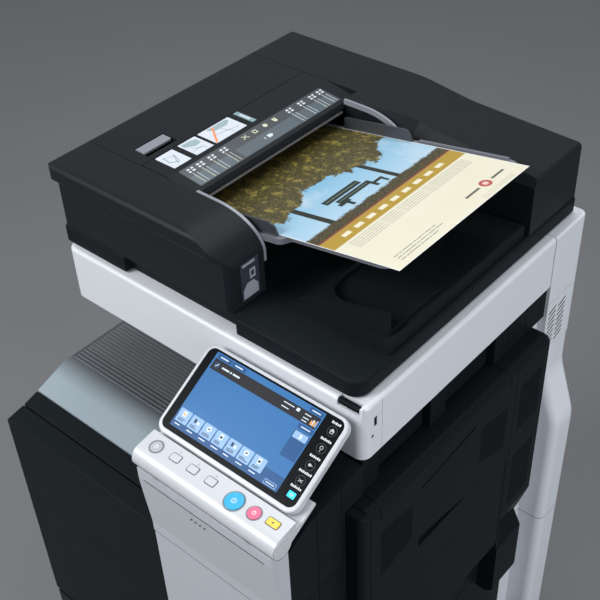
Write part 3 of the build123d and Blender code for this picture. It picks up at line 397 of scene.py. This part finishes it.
class Layers:
    """Thin plates stacked on one surface, joined into one piece."""

    def __init__(self, name, place, body, slot):
        self.name, self.place, self.body, self.slot = name, place, body, slot
        self.bm = bmesh.new()
        self.materials = []

    def rings(self, points, low, high):
        """The same outline at two heights."""
        return [[self.bm.verts.new((x, y, z)) for x, y in points] for z in (low, high)]

    def wall(self, first, second):
        """Faces between two rings with as many points."""
        faces = []
        for i in range(len(first)):
            j = (i + 1) % len(first)
            faces.append(self.bm.faces.new((first[i], first[j], second[j], second[i])))
        return faces

    def plate(self, outline, low, high, material, hole=None):
        """A closed plate between two heights over the surface, with an optional hole of as many points."""
        if material not in self.materials:
            self.materials.append(material)
        outer_low, outer_high = self.rings(outline, low, high)
        faces = self.wall(outer_low, outer_high)
        if hole:
            inner_low, inner_high = self.rings(hole, low, high)
            faces += self.wall(inner_high, inner_low)
            faces += self.wall(outer_high, inner_high)
            faces += self.wall(inner_low, outer_low)
        else:
            faces += [self.bm.faces.new(outer_high), self.bm.faces.new(outer_low[::-1])]
        for face in faces:
            face.material_index = self.materials.index(material)

    def finish(self, bevel=0.0):
        """Joins the plates into one piece, on its body."""
        self.bm.transform(Matrix.Scale(MM, 4) @ self.place)
        bmesh.ops.recalc_face_normals(self.bm, faces=self.bm.faces)
        mesh = bpy.data.meshes.new(self.name)
        self.bm.to_mesh(mesh)
        self.bm.free()
        piece = bpy.data.objects.new(self.name, mesh)
        bpy.context.scene.collection.objects.link(piece)
        for material in self.materials:
            mesh.materials.append(material)
        if bevel:
            modifier = piece.modifiers.new("edges", "BEVEL")
            modifier.width = bevel * MM
            modifier.segments = 2
            modifier.limit_method = "ANGLE"
        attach(piece, self.body)


# ---------------------------------------------------------------- touch panel
def display():
    """The lit screen: tabs, status bar, tiles and side boxes, with bars where words would be."""
    blue = glowing("display_blue", (0.037, 0.136, 0.320), 0.34)
    deep = glowing("display_deep_blue", (0.022, 0.075, 0.195), 0.4)
    grey = glowing("display_grey", (0.022, 0.022, 0.026), 0.3)
    pale = glowing("display_pale", (0.24, 0.38, 0.58), 0.36)
    light = glowing("display_light", (0.52, 0.60, 0.68), 0.4)
    accent = glowing("display_orange", (0.8, 0.3, 0.06), 0.6)
    ink = glowing("display_ink", (0.03, 0.05, 0.1), 0.3)
    base, first, second, third, fourth, fifth = 0.25, 0.32, 0.40, 0.48, 0.54, 0.60
    s = Layers("display_picture", PANEL, "control_panel", "screen")
    s.plate(rounded(0, 190, 0, 116, 0.6), base, first, blue)
    for x0, x1 in ((4, 29), (30.5, 55)):
        s.plate(rounded(x0, x1, 107.8, 114.8, 1), first, second, deep)
        s.plate(rounded(x0 + 5, x1 - 6, 110.4, 112.0), second, third, light)
    s.plate(rounded(166, 188, 107.8, 114.8, 1), first, second, deep)
    s.plate(rounded(170, 184, 110.6, 112.0), second, third, light)
    s.plate(rounded(3, 188, 91.2, 107.2, 1), first, second, grey)
    s.plate(disc(11, 99.2, 5), second, third, ink)
    s.plate(stroke([(9, 97), (13, 101.4)], 1.2), third, fourth, light)
    for x0, x1 in ((20, 33), (35, 38), (40, 52)):
        s.plate(rounded(x0, x1, 98.2, 100.6), second, third, light)
    for x0, x1, y in ((128, 146, 103), (128, 140, 97), (164, 174, 103), (164, 173, 98), (164, 172, 94)):
        s.plate(rounded(x0, x1, y - 0.6, y + 0.6), second, third, light)
    s.plate(rounded(150, 155, 100.6, 105), second, third, light)
    for x, height, color in ((177, 6, accent), (179.6, 8, light), (182.2, 7, accent), (184.8, 9, pale)):
        s.plate(rounded(x, x + 1.8, 93.6, 93.6 + height), second, third, color)
    s.plate(rounded(0.5, 189.5, 0.5, 20), first, second, deep)
    for number in range(7):
        x = 2.6 + number * 22.3
        s.plate(rounded(x, x + 20.2, 8.6, 27.6, 0.8), second, third, pale)
        s.plate(rounded(x + 3, x + 13 + number % 3 * 2, 11.0, 12.1), third, fourth, ink)
        s.plate(rounded(x + 3, x + 15 - number % 2 * 3, 13.2, 14.3), third, fourth, ink)
        s.plate(rounded(x + 3, x + 12 + number % 4, 4.2, 5.6), second, third, light)
        cx = x + 10
        if number % 3 == 0:
            s.plate(rounded(cx - 3, cx + 3, 17.6, 25.4, 0.5), third, fourth, light)
            s.plate(rounded(cx - 1.8, cx + 1.8, 19.5, 22.6), fourth, fifth, grey if number else accent)
        elif number % 3 == 1:
            s.plate(rounded(cx - 4.4, cx - 0.4, 18.4, 24, 0.4), third, fourth, ink)
            s.plate(rounded(cx + 0.6, cx + 5.2, 17.8, 21.6, 0.4), third, fourth, light)
        else:
            s.plate(disc(cx, 21.4, 3.8, 24), third, fourth, light)
            s.plate(rounded(cx - 1.6, cx + 1.6, 20.4, 22.4), fourth, fifth, grey)
    s.plate(rounded(164, 188.5, 42.4, 80, 0.6), first, second, deep)
    s.plate(rounded(165.5, 187, 69.6, 79.2, 0.6), second, third, pale)
    s.plate(rounded(175, 178.6, 71.4, 77.2, 0.3), third, fourth, light)
    s.plate(rounded(164, 188.5, 82.5, 89.5, 0.6), first, second, deep)
    s.plate(rounded(169, 184, 85.4, 86.8), second, third, light)
    button_hole = rounded(166.8, 185.2, 2.2, 7.2, 0.5)
    s.plate(rounded(166, 186, 1.4, 8, 1), second, third, pale, hole=button_hole)
    s.plate(rounded(169, 183, 4.1, 5.3), second, third, light)
    for x, y, w in ((27, 85, 5), (98, 84, 3.5), (82, 61.6, 1.8)):
        s.plate(rounded(x, x + w, y - 0.5, y + 0.5), first, second, deep)
    s.finish()


def touch_keys():
    """Symbols on the black glass beside the display, and the lit cyan key."""
    grey = glowing("key_grey", (0.42, 0.44, 0.46), 0.3)
    label = glowing("key_label", (0.58, 0.60, 0.62), 0.3)
    faint = glowing("key_faint", (0.08, 0.085, 0.09), 0.1)
    lit = glowing("key_cyan", (0.03, 0.55, 0.78), 0.9)
    low, high, raised = 0.25, 0.33, 0.39
    s = Layers("touch_key_symbols", PANEL, "control_panel", "screen")
    centre = 209.6
    keys = ((100.7, 111.5, 5), (75.3, 87.2, 6), (50.5, 62.0, 6), (28.2, 39.5, 7), (7.9, 18.4, 6))
    for y, label_y, blocks in keys:
        for block in range(blocks):
            x = centre + (block - blocks / 2) * 2.9
            top = label_y + (1.3 if block % 2 else 1.9)
            s.plate(rounded(x, x + 2.1, label_y - 1.3, top), low, high, label)
        if y > 10:
            s.plate(disc(centre, y, 7), low, high, faint, hole=disc(centre, y, 6.5))
    roof = [(centre - 4, 100.6), (centre, 104.2), (centre + 4, 100.6)]
    s.plate(roof[::-1], low, high, grey)
    door = rounded(centre - 1.7, centre + 1.7, 98, 99.9)
    s.plate(rounded(centre - 2.6, centre + 2.6, 97.2, 100.4), low, high, grey, hole=door)
    s.plate(disc(centre, 76.4, 2.6, 24), low, high, grey, hole=disc(centre, 76.4, 1.8, 24))
    s.plate(disc(centre, 71.8, 0.8, 12), low, high, grey)
    s.plate(rounded(centre - 3, centre + 1, 49, 52.4, 0.4), low, high, grey)
    s.plate(stroke([(centre + 1, 50.6), (centre + 3.6, 50.6)], 0.8), low, high, grey)
    s.plate(stroke([(centre - 3, 26.4), (centre + 3, 30)], 0.9), low, high, grey)
    s.plate(stroke([(centre - 3, 30), (centre + 3, 26.4)], 0.9), low, high, grey)
    s.plate(rounded(centre - 5.6, centre + 5.6, 3.6, 12, 0.8), low, high, lit)
    s.plate(rounded(centre - 2.2, centre + 2.2, 6.2, 9.4, 0.4), high, raised, grey)
    s.finish()


def bar_marks():
    """Rings round the round keys, small marks behind the square ones, and dark frames round the square
    ones: painted shadow in the gaps round those keys.
    """
    mark = plastic("mark_grey", (0.30, 0.33, 0.38), 0.5, 0.0)
    ring = plastic("ring_silver", (0.22, 0.25, 0.28), 0.25, 0.05, coat=0.4)
    # painted shadow for the gaps round the square keys
    shadow = plastic("key_gap_shadow", (0.16, 0.175, 0.19), 0.5, 0.0)
    s = Layers("bar_marks", BAR, "control_panel", "silver_white")
    for number, (x, _) in enumerate(FUNCTION_KEYS):
        s.plate(rounded(x - 0.5, x + 0.5, -8.6, -5.6), 0.02, 0.12, mark)
        if number:
            s.plate(rounded(x + 1.2, x + 2.0, -8.6, -6.2), 0.02, 0.12, mark)
    for (x, below), radius, width in ((POWER_KEY, 9.0, 1.7), (START_KEY, 13.4, 1.6), (STOP_KEY, 9.6, 1.2)):
        hole = disc(x, -below, radius, 48)
        s.plate(disc(x, -below, radius + width, 48), 0.0, 0.5, ring, hole=hole)
    squares = [(key, 7.5, 5.25) for key in FUNCTION_KEYS] + [(RESET_KEY, 9.0, 5.0)]
    for (x, below), half_width, half_height in squares:
        inner, outer = [
            rounded(
                x - half_width - gap, x + half_width + gap,
                -below - half_height - gap, -below + half_height + gap, corner
            )
            for gap, corner in ((0.35, 2.2), (1.3, 2.8))
        ]
        s.plate(outer, 0.02, 0.12, shadow, hole=inner)
    s.finish(0.1)


def key_symbols():
    """Small raised symbols on the keys themselves."""
    white = plastic("symbol_white", (0.85, 0.87, 0.88), 0.4, 0.0)
    dark = plastic("symbol_dark", (0.08, 0.1, 0.12), 0.4, 0.0)
    for name, (x, below), proud in (
        ("power_button", POWER_KEY, 1.0), ("start_button", START_KEY, 1.6),
        ("stop_button", STOP_KEY, 1.6), ("reset_button", RESET_KEY, 1.4),
    ):
        s = Layers(name + "_symbol", BAR, name, "silver_white")
        low, high = proud + 0.02, proud + 0.14
        if name == "reset_button":
            s.plate(disc(x, -below, 1.3, 16), low, high, dark)
        elif name == "start_button":
            s.plate(disc(x, -below, 3.6), low, high, white, hole=disc(x, -below, 2.9))
            s.plate(stroke([(x, -below - 1.6), (x, -below + 1.6)], 0.7), low, high, white)
        else:
            s.plate(disc(x, -below, 2.9), low, high, white, hole=disc(x, -below, 2.2))
            s.plate(stroke([(x, -below - 0.4), (x, -below + 2.2)], 0.7), low, high, white)
        s.finish()


def tablet_clip():
    """Grey clip behind the tablet's left edge."""
    s = Layers("tablet_clip", PANEL, "control_panel", "latch_grey")
    s.plate(rounded(-20.6, -12, 84, 104, 1.6), -12, -3, MATERIALS["latch"])
    s.finish(0.8)


# ---------------------------------------------------------------- document feeder
def feeder_stickers():
    """Instruction pictures on the bridge: plain sketches of a sheet and a path, with no words."""
    card = plastic("sticker_card", (0.62, 0.66, 0.72), 0.45, 0.04)
    shade = plastic("sticker_shade", (0.30, 0.40, 0.42), 0.5, 0.04)
    line = plastic("sticker_line", (0.16, 0.2, 0.24), 0.5, 0.0)
    orange = plastic("sticker_orange", (0.80, 0.28, 0.10), 0.45, 0.0)
    teal = plastic("sticker_teal", (0.20, 0.32, 0.34), 0.45, 0.04)
    s = Layers("feeder_stickers", level(FEEDER_TOP), "adf", "white_pad")
    low, first, second, third = 0.02, 0.2, 0.28, 0.34
    for y0, y1 in ((-85, -51), (-40, -5), (1, 66)):
        s.plate(rounded(-187.5, -146.5, y0, y1, 1.5), low, first, card)
    s.plate(rounded(-187.5, -146.5, 78, 87.5, 1.5), low, first, teal)
    s.plate(rounded(-178, -156, 81, 84.6, 0.6), first, second, card)
    sheet = [(-180, -78), (-162, -80), (-154, -66), (-172, -60)]
    inside = [(-178, -76), (-163, -77.5), (-156.5, -66.5), (-171.5, -62)]
    s.plate(sheet, first, second, shade, hole=inside)
    s.plate(stroke([(-176, -60), (-152, -72)], 0.8), first, second, line)
    lever = [(-184, -36), (-176, -38), (-166, -22), (-168, -10), (-180, -9), (-183, -20)]
    s.plate(lever, first, second, shade)
    s.plate(stroke([(-166, -32), (-152, -14)], 0.9), first, second, line)
    s.plate(stroke([(-158, -36), (-160, -12)], 0.7), first, second, line)
    s.plate([(-185, 16), (-174, 24), (-172, 48), (-180, 61), (-185, 58)], first, second, shade)
    s.plate(stroke([(-184, 29), (-147.5, 3)], 3.4), second, third, orange)
    s.plate(stroke([(-166, 12), (-156, 58)], 0.8), first, second, line)
    s.plate(stroke([(-172, 34), (-150, 44)], 0.8), first, second, line)
    s.finish()


def strip_plane():
    """Plane of the bridge's sloping edge: x runs down the slope from its top line, y to the back."""
    along = (STRIP_LOW - STRIP_TOP).normalized()
    normal = Vector((0, 1, 0)).cross(along) * -1
    columns = Matrix((along, (0, 1, 0), normal)).transposed().to_4x4()
    return Matrix.Translation(STRIP_TOP) @ columns


def size_strip():
    """Slate strip with the paper size scale: pairs of blocks, ticks and a plain emblem."""
    slate = plastic("strip_slate", (0.040, 0.048, 0.056), 0.3, 0.03, coat=0.4)
    blue = plastic("strip_blue", (0.072, 0.098, 0.118), 0.3, 0.03, coat=0.4)
    pale = plastic("strip_pale", (0.60, 0.66, 0.68), 0.4, 0.0)
    cream = plastic("strip_cream", (0.62, 0.63, 0.46), 0.4, 0.0)
    s = Layers("size_strip", strip_plane(), "adf", "charcoal")
    low, first, second, third = 0.02, 0.25, 0.33, 0.39
    s.plate(rounded(3, 48, -88, 221, 2), low, first, slate)
    for y0, y1 in ((6, 128), (-86, -8), (130, 219)):
        s.plate(rounded(24, 46.5, y0, y1, 1.5), first, second, blue)
    for y in (-71, -52, -29, -4, 141, 168, 194, 213):
        for dx, dy, w in ((7.5, -4, 5), (7.5, 3.4, 4.4), (13.2, -5, 4), (13.2, 2.4, 5)):
            s.plate(rounded(dx, dx + 3.4, y + dy - w / 2, y + dy + w / 2, 0.4), first, second, pale)
        s.plate(rounded(19, 46, y - 5.4, y - 4.4), second, third, cream if y % 3 else pale)
        s.plate(rounded(21, 46, y + 1.2, y + 2.0), second, third, pale)
    s.plate(stroke([(8, 36), (16, 46)], 1.4), first, second, cream)
    s.plate(stroke([(16, 35), (8, 45)], 1.4), first, second, cream)
    s.plate(rounded(8.5, 16, 57.5, 65.5, 0.8), first, second, cream, hole=rounded(10, 14.5, 59, 64, 0.6))
    s.plate(disc(12.2, 84, 4, 20), first, second, cream)
    s.plate(rounded(8, 12, 102, 109, 0.8), first, second, cream)
    s.plate(disc(13.5, 105.5, 3.6, 20), first, second, cream)
    s.plate(rounded(32, 37, 59, 60.6), second, third, pale)
    s.plate([(31, 66), (38, 66), (38, 73), (34, 77), (31, 73)], second, third, pale)
    s.finish()


def end_sticker():
    """Label on the end of the front block: blank shapes only."""
    plate = plastic("label_plate", (0.035, 0.042, 0.058), 0.35, 0.03, coat=0.3)
    grey = plastic("label_grey", (0.30, 0.33, 0.37), 0.45, 0.05)
    s = Layers("end_label", facing_right(41.0), "adf", "charcoal")
    low, first, second = 0.05, 0.22, 0.30
    s.plate(rounded(-155, -120, 1078, 1140, 1.5), low, first, plate)
    s.plate(rounded(-151, -127, 1132.5, 1137, 0.5), first, second, grey)
    window = rounded(-135.4, -129.6, 1112, 1120, 0.6)
    s.plate(rounded(-138, -127, 1108, 1124, 0.6), first, second, grey, hole=window)
    hand = [(-152, 1080), (-123, 1080), (-123, 1094), (-131, 1104), (-144, 1104), (-152, 1094)]
    s.plate(hand, first, second, grey)
    s.finish()


def mouth_lip():
    """Ribbed lip under the bridge's edge, where the originals go in."""
    s = Layers("mouth_lip", level(0), "adf", "latch_grey")
    brown = plastic("lip_plastic", (0.13, 0.125, 0.13), 0.4, 0.1)
    s.plate(rounded(-85.5, -80.2, -103, 212, 1.5), 1160.6, 1163.8, brown)
    s.finish(0.8)


# ---------------------------------------------------------------- the original on the tray
class Poster(Shader):
    """A poster printed on the sheet: foliage, sky, a bench and a hedge, then an ochre band and a cream
    part with grey rules where words would be. It is drawn from millimetres along the sheet, from its
    cream end, and across it."""

    def __init__(self):
        super().__init__("printed_paper")
        self.along = self.math("MULTIPLY", self.less(self.axis("X", "UV")), PAPER_LENGTH)
        self.across = self.math("MULTIPLY", self.axis("Y", "UV"), PAPER_WIDTH)
        printed = self.mix(self.step(self.along, 130), self.message(), self.landscape())
        inner = self.math(
            "MULTIPLY", self.band(self.across, 1.2, PAPER_WIDTH - 1.2),
            self.band(self.along, 1.2, PAPER_LENGTH - 1.2)
        )
        gloss = self.spread(self.noise(30.0), 0.28, 0.4)
        self.set(Base_Color=self.mix(inner, (0.80, 0.80, 0.79), printed), Roughness=gloss)
        self.bump(self.noise(900.0, 2.0), 0.04, 0.0001)

    def less(self, value):
        """One less a value."""
        return self.math("SUBTRACT", 1.0, value)

    def step(self, value, edge, soft=0.6):
        """One past an edge, zero before it."""
        return self.spread(value, 0.0, 1.0, edge - soft, edge + soft)

    def band(self, value, low, high):
        """One between two edges."""
        return self.math("MULTIPLY", self.step(value, low), self.less(self.step(value, high)))

    def box(self, a0, a1, c0, c1, skew=0.0):
        """One inside a rectangle along and across the sheet."""
        slid = self.math("ADD", self.along, self.math("MULTIPLY", self.across, skew))
        return self.math("MULTIPLY", self.band(slid, a0, a1), self.band(self.across, c0, c1))

    def grain(self, scale, detail=5.0, roughness=0.75, stretch=(1.41, 1.0, 1.0)):
        """Noise that lies in the sheet."""
        return self.noise(scale, detail, roughness, "UV", stretch)

    def ragged(self, wide, wide_amount, fine, fine_amount):
        """Distance along the sheet, made uneven at two scales."""
        uneven = self.along
        for scale, amount in ((wide, wide_amount), (fine, fine_amount)):
            wobble = self.math("SUBTRACT", self.grain(scale, roughness=0.65), 0.5)
            uneven = self.math("ADD", uneven, self.math("MULTIPLY", wobble, amount))
        return uneven

    def landscape(self):
        """Sky behind posts and a bench, under golden foliage and above a hedge."""
        picture = self.mix(
            self.spread(self.along, 0.0, 1.0, 150, 250), (0.40, 0.58, 0.70), (0.20, 0.44, 0.62)
        )
        cloud = self.spread(self.grain(5.0, roughness=0.6, stretch=None), 0.0, 0.8, 0.5, 0.75)
        picture = self.mix(cloud, picture, (0.58, 0.66, 0.72))
        for c0, c1 in ((52, 62), (198, 207)):
            picture = self.mix(self.box(150, 268, c0, c1, 0.02), picture, (0.018, 0.02, 0.014))
        bench = (
            (190, 203, 90, 164), (176, 187, 102, 172), (170, 178, 96, 118), (158, 176, 108, 114),
            (162, 178, 166, 172), (170, 176, 170, 190), (158, 170, 184, 189),
        )
        for a0, a1, c0, c1 in bench:
            picture = self.mix(self.box(a0, a1, c0, c1), picture, (0.012, 0.020, 0.014))
        for a0, a1, c0, c1 in ((195.5, 197.5, 94, 160), (181, 182.6, 106, 166)):
            picture = self.mix(self.box(a0, a1, c0, c1), picture, (0.13, 0.19, 0.14))
        wave = self.math("SINE", self.math("MULTIPLY", self.across, 0.036))
        crown = self.math("ADD", self.ragged(7.0, 95.0, 40.0, 22.0), self.math("MULTIPLY", wave, 16.0))
        picture = self.mix(self.step(crown, 232, 2.0), picture, self.leaves())
        hedge = self.mix(
            self.spread(self.grain(90.0), 0.0, 1.0, 0.42, 0.68), (0.014, 0.014, 0.007), (0.17, 0.125, 0.045)
        )
        in_hedge = self.less(self.step(self.ragged(26.0, 14.0, 60.0, 8.0), 153, 2.0))
        picture = self.mix(in_hedge, picture, hedge)
        return self.mix(self.less(self.step(self.along, 133.5)), picture, (0.22, 0.05, 0.015))

    def leaves(self):
        """Dark foliage with golden clusters."""
        shade = self.spread(self.grain(78.0, 6.0), 0.0, 1.0, 0.36, 0.66)
        dark = self.mix(shade, (0.012, 0.014, 0.006), (0.14, 0.115, 0.035))
        gold = self.mix(self.grain(170.0, 4.0, 0.7, None), (0.52, 0.40, 0.085), (0.09, 0.070, 0.02))
        return self.mix(self.spread(self.grain(22.0, 6.0, stretch=None), 0.0, 0.85, 0.52, 0.62), dark, gold)

    def message(self):
        """Ochre band with pale blocks, rows of grey rules, and a round emblem between two bars."""
        lower = self.mix(self.grain(3.0, 2.0, 0.5, None), (0.73, 0.69, 0.52), (0.77, 0.74, 0.59))
        lower = self.mix(self.band(self.along, 104, 130), lower, (0.42, 0.27, 0.030))
        words = self.spread(self.grain(60.0, 1.0, 0.5, (0.02, 1.0, 1.0)), 0.35, 1.0, 0.38, 0.46)
        rules = [(edge, 1.1, 22, 278, 0.75, (0.16, 0.15, 0.13)) for edge in (98.5, 94, 89.5, 85, 80.5)]
        for edge, end in ((26, 110), (20, 118), (14, 100)):
            rules.append((edge, 1.6, 22, end, 0.85, (0.14, 0.14, 0.13)))
        rules += [(edge, 1.0, 196, 270, 0.6, (0.30, 0.22, 0.18)) for edge in (11, 6.5)]
        for edge, height, start, end, strength, color in rules:
            rule = self.math("MULTIPLY", self.box(edge - height, edge, start, end), words)
            lower = self.mix(self.math("MULTIPLY", rule, strength), lower, color)
        for c0, c1 in ((184, 216), (246, 275)):
            lower = self.mix(self.box(26, 30, c0, c1), lower, (0.10, 0.09, 0.08))
        squares = [
            self.math("POWER", self.math("SUBTRACT", value, centre), 2.0)
            for value, centre in ((self.along, 28), (self.across, 231))
        ]
        radius = self.math("SQRT", self.math("ADD", *squares))
        lower = self.mix(self.less(self.step(radius, 9.5)), lower, (0.45, 0.09, 0.07))
        lower = self.mix(self.less(self.step(radius, 4.5)), lower, (0.78, 0.55, 0.5))
        for start in range(34, 243, 26):
            block = self.math("MULTIPLY", self.box(113, 121, start, start + 15), 0.9)
            lower = self.mix(block, lower, (0.82, 0.78, 0.60))
        return lower


def paper_z(x):
    """Height of the tray's surface under the sheet."""
    return PAPER_RIGHT_Z - (PAPER_RIGHT - x) * math.tan(PAPER_SLOPE)


def original():
    """The A3 sheet: lying on the tray, its upper end sinking a little to the tray towards its edges."""
    columns, rows = 60, 42
    gap, bow_from, bow = 0.65, 0.72, 0.5
    mesh = bpy.data.meshes.new("original")
    vertices, coordinates = [], []
    for i in range(columns + 1):
        for j in range(rows + 1):
            u, v = i / columns, j / rows
            run = PAPER_LENGTH * (1 - u)
            x = PAPER_RIGHT - run * math.cos(PAPER_SLOPE)
            y = PAPER_FRONT + PAPER_WIDTH * v
            free = max(0.0, u - bow_from) / (1 - bow_from)
            sag = bow * free ** 2 * (1 - 0.5 * math.sin(math.pi * v))
            vertices.append((x * MM, y * MM, (paper_z(x) + gap - sag) * MM))
            coordinates.append((u, v))
    faces = []
    for i in range(columns):
        for j in range(rows):
            a = i * (rows + 1) + j
            faces.append((a, a + rows + 1, a + rows + 2, a + 1))
    mesh.from_pydata(vertices, [], faces)
    layer = mesh.uv_layers.new(name="UVMap")
    for loop in mesh.loops:
        layer.data[loop.index].uv = coordinates[loop.vertex_index]
    for polygon in mesh.polygons:
        polygon.use_smooth = True
    mesh.materials.append(Poster().material)
    piece = bpy.data.objects.new("original", mesh)
    bpy.context.scene.collection.objects.link(piece)
    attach(piece, "document_tray")
    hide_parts("original_sheet")


# ---------------------------------------------------------------- small additions
def column_details():
    """Dark plate in the column's slot as painted shade, four indicator dots, and a dark plate as painted
    shade in the seam below.
    """
    dark = plastic("slot_shade_and_dot_dark", (0.014, 0.016, 0.019), 0.6, 0.1, shine=0.1)
    s = Layers("column_slot", facing_front(-364.5), "root", "black_plastic")
    # painted shade: a dark plate fills the slot
    s.plate(rounded(SPLIT_X + 12.1, 256.9, 906.1, 908.4), 0.0, 1.75, dark)
    for x in (128, 136, 144, 152):
        s.plate(disc(x, 893, 1.3, 20), 1.9, 2.5, dark)
    s.finish()
    s = Layers("column_seam", level(COLUMN_SEAM), "front_door", "black_plastic")
    radius, centre_x, centre_y = 10.8, 264.0, -346.0
    outline = [(SPLIT_X + 0.5, -324), (SPLIT_X + 0.5, centre_y - radius)]
    for turn in (math.radians(angle) for angle in range(-90, 1, 15)):
        outline.append((centre_x + radius * math.cos(turn), centre_y + radius * math.sin(turn)))
    outline.append((centre_x + radius, -324))
    # painted shade: a dark plate fills the seam at the top of the front door
    s.plate(outline, 0.0, 1.0, dark)
    s.finish()


def scanner_port():
    """Dark insides of the port and the socket on the scanner's right side: partly their own dark parts,
    partly painted shade in the holes.
    """
    dark = plastic("port_dark", (0.008, 0.009, 0.011), 0.5, 0.1, shine=0.1)
    s = Layers("scanner_port", facing_right(RIGHT - 2.5), "root", "black_plastic")
    # dark plates in the holes: own dark parts and painted shade
    s.plate(rounded(-168.8, -163.2, 1001.2, 1016.8, 0.4), 0.02, 1.9, dark)
    s.plate(disc(-172, 986, 2.4, 28), 0.02, 1.9, dark)
    s.finish()


def tray_ribs():
    """Low ribs between the tall ones of the output tray."""
    s = Layers("tray_ribs", level(TRAY_HEIGHT), "root", "tray_grey")
    for number in range(47):
        y = -183.2 + TRAY_RIB_PITCH * number
        s.plate(rounded(-303.5, 157.5, y, y + 1.1), 0.02, 1.15, MATERIALS["tray"])
    s.finish()


def side_label():
    """Blank sketch label low on the right side."""
    card = plastic("side_card", (0.42, 0.45, 0.48), 0.5, 0.04)
    line = plastic("side_line", (0.03, 0.035, 0.04), 0.5, 0.0)
    s = Layers("side_label", facing_right(270.0), "root", "white_pad")
    s.plate(rounded(70, 118, 388, 436, 1.5), 0.02, 0.2, card)
    sketch = ((76, 396, 112, 430), (76, 404, 100, 430), (88, 394, 112, 416), (78, 414, 90, 428))
    for y0, z0, y1, z1 in sketch:
        s.plate(stroke([(y0, z0), (y1, z1)], 1.4), 0.2, 0.28, line)
    s.finish()


def rear_screws():
    """Round head screws that hold the rear cover."""
    s = Layers("rear_screws", facing_back(355.0), "root", "steel")
    steel = MATERIALS["shaft"]
    for x in (300, 50, -185):
        for z in (110, 330, 500, 780, 930):
            socket = disc(x, z, 1.2, 24)
            s.plate(disc(x, z, 4.2, 24), 0.0, 1.2, steel, hole=socket)
            s.plate(disc(x, z, 2.6, 24), 1.2, 1.7, steel, hole=socket)
    s.finish(0.2)


def paper_stacks():
    """Copy paper in each drawer: many thin layers whose edges don't quite line up, every other one in a
    darker copy of the paper as painted shade between the sheets.
    """
    chance = random.Random(7)
    white = plastic("copy_paper", (0.74, 0.75, 0.76), 0.6, 0.1)
    # painted shade: a darker copy of the paper for every other layer
    shade = plastic("copy_paper_shade", (0.60, 0.62, 0.64), 0.6, 0.1)
    layers, pitch, gap, above_floor = 16, 2.6, 0.02, 5.2
    for number, floor in enumerate(DRAWER_FLOORS, 1):
        s = Layers(f"paper_stack_{number}", level(floor + above_floor), f"drawer_{number}", "paper")
        for layer in range(layers):
            dx, dy = chance.uniform(-0.5, 0.5), chance.uniform(-0.5, 0.5)
            outline = rounded(-160 + dx, 137 + dx, -250 + dy, 170 + dy, 0.6, 2)
            s.plate(outline, layer * pitch, (layer + 1) * pitch - gap, white if layer % 2 else shade)
        s.finish()


# ---------------------------------------------------------------- studio
def area_light(name, place, target, size, power, color=(1, 1, 1)):
    """A square lamp that faces its target."""
    data = bpy.data.lights.new(name, "AREA")
    data.shape = "SQUARE"
    data.size = size
    data.energy = power
    data.color = color
    light = bpy.data.objects.new(name, data)
    light.location = place
    light.rotation_euler = (Vector(target) - Vector(place)).to_track_quat("-Z", "Y").to_euler()
    bpy.context.scene.collection.objects.link(light)


def studio():
    """Grey floor, three soft lights and a pale sky."""
    mesh = bpy.data.meshes.new("floor")
    reach = 12.0
    corners = [(-reach, -reach, 0), (reach, -reach, 0), (reach, reach, 0), (-reach, reach, 0)]
    mesh.from_pydata(corners, [], [(0, 1, 2, 3)])
    floor = bpy.data.objects.new("floor", mesh)
    bpy.context.scene.collection.objects.link(floor)
    s = Shader("floor_paint")
    s.set(Base_Color=s.mix(s.noise(2.0), (0.16, 0.163, 0.17), (0.18, 0.183, 0.19)), Roughness=0.6)
    mesh.materials.append(s.material)
    area_light("key", (-1.5, -2.6, 3.0), (0.0, -0.1, 0.9), 1.8, 104.0)
    area_light("top", (-0.3, 0.9, 3.6), (0.0, 0.0, 1.0), 2.2, 44.0, (0.97, 0.98, 1.0))
    area_light("side", (3.2, -0.3, 1.9), (0.2, 0.0, 0.9), 1.6, 50.0, (0.95, 0.97, 1.0))
    world = bpy.data.worlds.new("studio")
    world.use_nodes = True
    sky = world.node_tree.nodes["Background"]
    sky.inputs["Color"].default_value = (0.78, 0.82, 0.88, 1.0)
    sky.inputs["Strength"].default_value = 0.42
    bpy.context.scene.world = world
    bpy.context.scene.view_settings.view_transform = "Standard"


def camera():
    """Looks down at the front and the right side."""
    place = Vector((0.8500, -0.9263, 1.9860))
    azimuth, elevation, roll = (math.radians(v) for v in (42.42, 39.17, -2.77))
    level_part = math.cos(elevation)
    back = Vector((math.sin(azimuth) * level_part, -math.cos(azimuth) * level_part, math.sin(elevation)))
    right = (-back).cross(Vector((0, 0, 1))).normalized()
    up = right.cross(-back)
    rolled_right = right * math.cos(roll) + up * math.sin(roll)
    rolled_up = up * math.cos(roll) - right * math.sin(roll)
    data = bpy.data.cameras.new("camera")
    data.lens = 64.01
    data.sensor_width = 36.0
    data.clip_start = 0.05
    data.clip_end = 60.0
    view = bpy.data.objects.new("camera", data)
    turn = Matrix((rolled_right, rolled_up, back)).transposed().to_4x4()
    view.matrix_world = Matrix.Translation(place) @ turn
    bpy.context.scene.collection.objects.link(view)
    bpy.context.scene.camera = view


dress_cad_nodes()
display()
touch_keys()
bar_marks()
key_symbols()
tablet_clip()
feeder_stickers()
size_strip()
end_sticker()
mouth_lip()
original()
column_details()
scanner_port()
tray_ribs()
side_label()
rear_screws()
paper_stacks()
studio()
camera()
